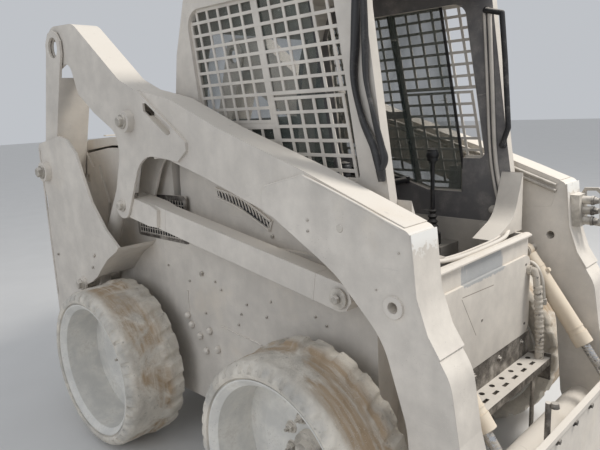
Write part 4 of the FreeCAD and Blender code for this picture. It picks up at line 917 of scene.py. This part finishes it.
FRAME_PINS = [
    # pin in x and z, place across, width of the head
    ((-1.17, 1.28), 0.692, 0.05), (LIFT_FOOT, 0.674, 0.044)]
ARM_PINS = [
    (LIFT_HEAD, 0.658, 0.044), (LINK_REAR, ARM_FACE, 0.04), ((1.24, 0.245), ARM_FACE, 0.038)]


def pin_heads(bm, pins, sign):
    for pin, across, width in pins:
        bolt(bm, at(pin, across * sign), (0, sign, 0), width)


def capped_pin(bm, place, outward, radius, width):
    """The end of a pin with a cap and a bolt on it."""
    disc(bm, place, (0, outward, 0), radius, 0.006)
    bolt(bm, place + Vector((0, 0.006 * outward, 0)), (0, outward, 0), width, washer=False)


def side_details():
    """Bolts, caked fittings, welds and seams on the chassis and the uprights."""
    bm = bmesh.new()
    for sign in SIGNS:
        spots(bm, CHASSIS_SPOTS, CHASSIS_FACE, sign)
        spots(bm, [(-0.152, 0.85)], CHASSIS_FACE, sign, 0.022)
        spots(bm, [(-1.163, 0.836), (-0.752, 0.885), (-0.778, 0.825), (-0.746, 0.891)],
              UPRIGHT_FACE, sign, 0.014)
        pin_heads(bm, FRAME_PINS, sign)
        capped_pin(bm, at(LINK_FRONT, LINK_FACE * sign), sign, 0.034, 0.03)
    keep_steel(bm, "frame_bolts", "frame")
    bm = bmesh.new()
    for sign in SIGNS:
        for x, z in MUD_LUMPS:
            bmesh.ops.create_icosphere(bm, subdivisions=3, radius=0.016,
                                       matrix=Matrix.Translation((x, 0.47 * sign, z)))
        for line, across, radius in (
                ([(-0.275, 0.751), (-0.281, 0.595)], 0.4645, 0.0038),
                ([(-0.04, 0.632), (0.217, 0.611)], 0.4645, 0.0038),
                ([(-1.236, 0.6), (-1.236, 1.4)], 0.663, 0.005)):
            weld(bm, [at(spot, across * sign) for spot in line], radius)
    for vert in bm.verts:
        vert.co += Vector((1, 0, 1)) * 0.003 * fractal(vert.co * 60)
    keep(bm, "frame_welds", "frame", smooth=60)


def arm_details():
    """Welds round the legs' laps, rolled top edges, pin heads and the plates on the legs."""
    bm = bmesh.new()
    for sign in SIGNS:
        weld(bm, [at(spot, 0.6155 * sign) for spot in LAP_LINE])
        edge = smooth_path([at(spot, 0.623 * sign) for spot in ARM_TOP], 30)
        tube(bm, [spot for spot in edge if spot.x > 0.64], 0.005, 8)
        slab(bm, LEG_RIB, 0.496 * sign, 0.63 * sign)
    keep(bm, "arm_welds", "lift_arm", LEG_HIGHLIT_SHEET, smooth=50)
    bm = bmesh.new()
    for sign in SIGNS:
        spots(bm, [(0.657, 1.199), (0.657, 1.164)], ARM_FACE, sign, 0.009)
        disc(bm, (0.788, ARM_FACE * sign, 1.187), (0, sign, 0), 0.013, 0.0015, 0.011)
        pin_heads(bm, ARM_PINS, sign)
        capped_pin(bm, at(TILT_TOP, 0.396 * sign), -sign, 0.031, 0.026)
        spots(bm, [(1.0, 1.14), (0.92, 1.02)], ARM_FACE, sign, 0.007)
    keep_steel(bm, "arm_bolts", "lift_arm")
    bm = bmesh.new()
    for z in (1.042, 1.084, 1.126):
        for start, radius in ((1.118, 0.02), (1.128, 0.015), (1.136, 0.0125)):
            disc(bm, (start, 0.564, z), (1, 0, 0), radius, 0.009, radius * 0.92, 20)
    spots(bm, [(1.1, 1.063), (1.1, 1.105)], 0.6105, 1, 0.012)
    keep_steel(bm, "coupler_collars", "lift_arm", STEEL)


def barrel_rings(bm, foot, head, rod_shown, inner, rings, foot_ring):
    """Open collars round a barrel: some back from its mouth, and one near its foot."""
    way = (head - foot).normalized()
    mouth = head - way * rod_shown
    for back, outer, depth in rings:
        collar(bm, mouth - way * back, way, inner, outer, depth)
    ahead, outer = foot_ring
    collar(bm, foot + way * ahead, way, inner, outer, 0.01)
    return way


def link_details():
    """Bands on the control links, and collars and ports on the cylinders."""
    bm = bmesh.new()
    start, end = at(LINK_REAR, 0), at(LINK_FRONT, 0)
    way = (end - start).normalized()
    up = Vector((-way.z, 0, way.x))
    for sign in SIGNS:
        for share in (0.235, 0.91):
            spot = start.lerp(end, share)
            corners = [spot + way * along + up * high for along, high in (
                (-0.004, -0.0485), (0.004, -0.0485), (0.004, 0.0485), (-0.004, 0.0485))]
            slab(bm, [(corner.x, corner.z) for corner in corners], 0.527 * sign, 0.599 * sign)
    keep(bm, "link_welds", "control_links")
    bm = bmesh.new()
    for sign in SIGNS:
        barrel_rings(bm, at(LIFT_FOOT, 0.563 * sign), at(LIFT_HEAD, 0.563 * sign), 0.125, 0.0358,
                     ((0.03, 0.0385, 0.026), (0.1, 0.038, 0.008)), (0.13, 0.0375))
    keep(bm, "lift_barrel_rings", "lift_barrels", SHEET, smooth=35)
    bm = bmesh.new()
    for sign in SIGNS:
        top = at(TILT_TOP, 0.42 * sign)
        way = barrel_rings(bm, top, at(TILT_LOW, 0.42 * sign), 0.182, 0.0338,
                           ((0.03, 0.0362, 0.028), (0.075, 0.0356, 0.007)), (0.075, 0.0356))
        up = Vector((-way.z, 0, way.x))
        disc(bm, top + way * 0.11 + up * 0.0325, up, 0.011, 0.014, 0.009, 12)
    keep(bm, "tilt_barrel_rings", "tilt_barrels", TAN_SHEET, smooth=35)


def front_details():
    """The bent pipe and the mud on the hose beside the front panel, and the panel's bolts."""
    bm = bmesh.new()
    pipe = smooth_path([(0.93, 0.366, 0.8), (0.934, 0.366, 0.855), (0.955, 0.366, 0.886),
                        (0.985, 0.366, 0.868), (1.008, 0.364, 0.815), (1.018, 0.362, 0.74)])
    tube(bm, pipe, 0.0085, 12)
    for spot in (pipe[0], pipe[-1]):
        disc(bm, spot - Vector((0, 0, 0.02)), (0, 0, 1), 0.0125, 0.024, 0.0125, 6)
    keep(bm, "front_pipe", "frame", CAKED_STEEL, smooth=40)
    bm = bmesh.new()
    route = smooth_path([(1.000, 0.341, 0.8), (1.006, 0.345, 0.7), (1.013, 0.346, 0.6),
                         (1.014, 0.346, 0.515)], 34)
    tube(bm, route, 0.0165, 16, lambda number, turn: 0.0017 * math.sin(number * 0.9))
    for vert in bm.verts:
        vert.co += Vector((1, 1, 0)) * 0.0022 * fractal(vert.co * 55)
    keep(bm, "hose_mud", "frame", HOSE, smooth=60)
    bm = bmesh.new()
    for y, z in ((-0.052, 0.764), (0.315, 0.64), (-0.315, 0.64), (0.315, 0.89),
                 (-0.315, 0.89)):
        disc(bm, (0.96, y, z), (1, 0, 0), 0.0065, 0.002, 0.005, 12)
    for y in (-0.3, -0.1, 0.1, 0.3):
        bolt(bm, (0.956, y, 0.56), (1, 0, 0), 0.018)
    keep_steel(bm, "front_bolts", "frame", STEEL)


GRILLE_ROWS, GRILLE_COLUMNS, VENT_RIBS = 9, 19, 15
VENT = [(-0.018, 1.226), (-0.014, 1.205), (0.124, 1.17), (0.282, 1.102), (0.29, 1.124),
        (0.136, 1.196)]
VENT_RIMS = [[(-0.028, 1.236), (0.138, 1.203), (0.3, 1.13)],
             [(-0.022, 1.198), (0.122, 1.163), (0.288, 1.092)]]


def grilles():
    """Thin dark sheets of painted shade behind the side grilles and the curved vents, round wires
    in the grilles, and ribs in the vents.
    """
    bm = bmesh.new()
    for sign in SIGNS:
        low, high = sorted((0.4642 * sign, 0.4655 * sign))
        # Painted shade behind the grille wires and the vent ribs
        box(bm, (-0.63, low, 0.984), (-0.24, high, 1.168))
        slab(bm, VENT, 0.4532 * sign, 0.4542 * sign)
    keep(bm, "grille_shade_backs", "frame", SHADE_BACKING)
    bm = bmesh.new()
    for sign in SIGNS:
        for row in range(GRILLE_ROWS):
            z = 0.99 + row * 0.022
            rod(bm, (-0.628, 0.4682 * sign, z), (-0.242, 0.4682 * sign, z), 0.0019, sides=8)
        for column in range(GRILLE_COLUMNS):
            x = -0.624 + column * 0.0212
            rod(bm, (x, 0.4705 * sign, 0.986), (x, 0.4705 * sign, 1.166), 0.0017, sides=8)
        for number in range(VENT_RIBS):
            share = (number + 0.5) / VENT_RIBS
            x = -0.018 + 0.304 * share
            top = 1.236 - 0.034 * share - 0.076 * share * share
            foot = top - 0.04 + 0.012 * share
            rod(bm, (x, 0.4565 * sign, top), (x + 0.013, 0.4565 * sign, foot), 0.0034, 0.0026, 8)
        for rim in VENT_RIMS:
            tube(bm, smooth_path([at(spot, 0.456 * sign) for spot in rim], 12), 0.0042, 8)
    keep(bm, "grille_wires", "frame", smooth=60)


def rear_details():
    """Louvres, latch and bolts on the rear door, ribs on the cover and the roof, and lenses."""
    bm = bmesh.new()
    for row in range(12):
        z = 0.62 + row * 0.036
        box(bm, (-1.3385, -0.3, z), (-1.3295, 0.3, z + 0.016), 0.004)
    for y, z in ((-0.39, 0.47), (0.39, 0.47), (-0.39, 1.245), (0.39, 1.245)):
        bolt(bm, (-1.33, y, z), (-1, 0, 0), 0.02)
    box(bm, (-1.338, -0.385, 0.83), (-1.329, -0.335, 0.95), 0.004)
    rod(bm, (-1.3395, -0.36, 0.86), (-1.3395, -0.36, 0.92), 0.0075)
    keep(bm, "rear_louvres", "rear_door", smooth=35)
    bm = bmesh.new()
    for x in (-1.1, -0.95, -0.8, -0.65, -0.5):
        box(bm, (x - 0.014, -0.36, 1.4425), (x + 0.014, 0.36, 1.449), 0.003)
    keep(bm, "cover_ribs", "top_cover", smooth=35)
    bm = bmesh.new()
    for y in (-0.3, -0.15, 0, 0.15, 0.3):
        box(bm, (-0.06, y - 0.02, 2.0745), (0.66, y + 0.02, 2.083), 0.003)
    for x in (-0.08, 0.69):
        for y in (-0.4, 0.4):
            bolt(bm, (x, y, 2.076), (0, 0, 1), 0.02)
    keep(bm, "roof_ribs", "frame", smooth=35)
    bm = bmesh.new()
    for sign in SIGNS:
        for z in (0.878, 0.922):
            disc(bm, (-1.2755, 0.585 * sign, z), (-1, 0, 0), 0.019, 0.007, 0.015)
            disc(bm, (-1.2825, 0.585 * sign, z), (-1, 0, 0), 0.015, 0.004, 0.008)
    keep(bm, "lamp_lenses", "frame", LENS, smooth=40)


def other_bolts():
    """Bolts and a hatch below, and bolts on the cab and the tool carrier."""
    bm = bmesh.new()
    for x in (-1.0, -0.5, 0.0, 0.45):
        for y in (-0.34, 0.34):
            bolt(bm, (x, y, 0.24), (0, 0, -1), 0.024)
    box(bm, (-0.75, -0.2, 0.233), (-0.25, 0.2, 0.241), 0.003)
    keep_steel(bm, "belly_bolts", "frame", DARK_STEEL)
    bm = bmesh.new()
    for sign in SIGNS:
        spots(bm, [(-0.23, 1.1), (0.3, 1.07), (0.8, 1.07)], CAB_FACE, sign, 0.016)
        spots(bm, [(0.05, 2.0), (0.35, 2.0), (0.62, 2.0)], CAB_FACE, sign, 0.014)
    keep_steel(bm, "cab_bolts", "frame")
    bm = bmesh.new()
    for y in (-0.42, -0.28, -0.14, 0, 0.14, 0.28, 0.42):
        bolt(bm, (1.322, y, 0.533), (1, 0, 0), 0.02)
    for sign in SIGNS:
        rod(bm, (1.313, 0.285 * sign, 0.64), (1.313, 0.285 * sign, 0.655), 0.014, 0.011)
    keep_steel(bm, "carrier_bolts", "carrier", DARK_STEEL)


# Camera, light and floor

CAMERA_PLACE = (1.904, -1.93, 1.545)
YAW, PITCH, ROLL = 134.5, -11.3, -2.6
FOCAL_PX, PHOTO_WIDTH = 584.0, 600.0


def place_camera():
    """The camera of the photograph, its yaw from +X towards +Y."""
    yaw, pitch, roll = map(math.radians, (YAW, PITCH, ROLL))
    ahead = Vector((math.cos(yaw) * math.cos(pitch), math.sin(yaw) * math.cos(pitch),
                    math.sin(pitch)))
    right = Vector((math.sin(yaw), -math.cos(yaw), 0))
    above = right.cross(ahead)
    turned = right * math.cos(roll) + above * math.sin(roll)
    above = above * math.cos(roll) - right * math.sin(roll)
    data = bpy.data.cameras.new("camera")
    data.sensor_width = 36.0
    data.lens = FOCAL_PX / PHOTO_WIDTH * data.sensor_width
    data.clip_start = 0.05
    item = add_item("camera", data)
    turn = Matrix((turned, above, -ahead)).transposed().to_4x4()
    item.matrix_world = Matrix.Translation(CAMERA_PLACE) @ turn
    bpy.context.scene.camera = item


def area_light(name, place, target, size, power, colour):
    data = bpy.data.lights.new(name, "AREA")
    data.shape, data.size, data.energy, data.color = "DISK", size, power, colour
    add_item(name, data).matrix_world = turn_to(place, Vector(place) - Vector(target))


def studio():
    """A pale floor, a pale surround, a wide warm key from the front and left and a cool fill."""
    bm = bmesh.new()
    bmesh.ops.create_grid(bm, x_segments=1, y_segments=1, size=40)
    floor = to_item(bm, "floor")
    look = Finish("floor")
    mottle = look.noise(3, 4, 0.5)
    floor.data.materials.append(look.set(
        Base_Color=look.mix(mottle, rgb(214, 213, 211), rgb(222, 221, 219)), Roughness=0.9))
    world = bpy.data.worlds.new("surround")
    bpy.context.scene.world = world
    world.use_nodes = True
    backdrop = world.node_tree.nodes["Background"].inputs
    backdrop["Color"].default_value = rgb(236, 240, 246)
    backdrop["Strength"].default_value = 0.62
    area_light("key", (3.6, 2.4, 6.2), (0, 0, 0.8), 2.2, 330, (1.0, 0.965, 0.91))
    area_light("fill", (1.0, -6.0, 3.0), (0, 0, 0.9), 4.0, 55, (0.9, 0.94, 1.0))
    bpy.context.scene.view_settings.view_transform = "Standard"


wheels()
cab()
levers()
seat()
side_details()
arm_details()
link_details()
front_details()
grilles()
rear_details()
other_bolts()
place_camera()
studio()
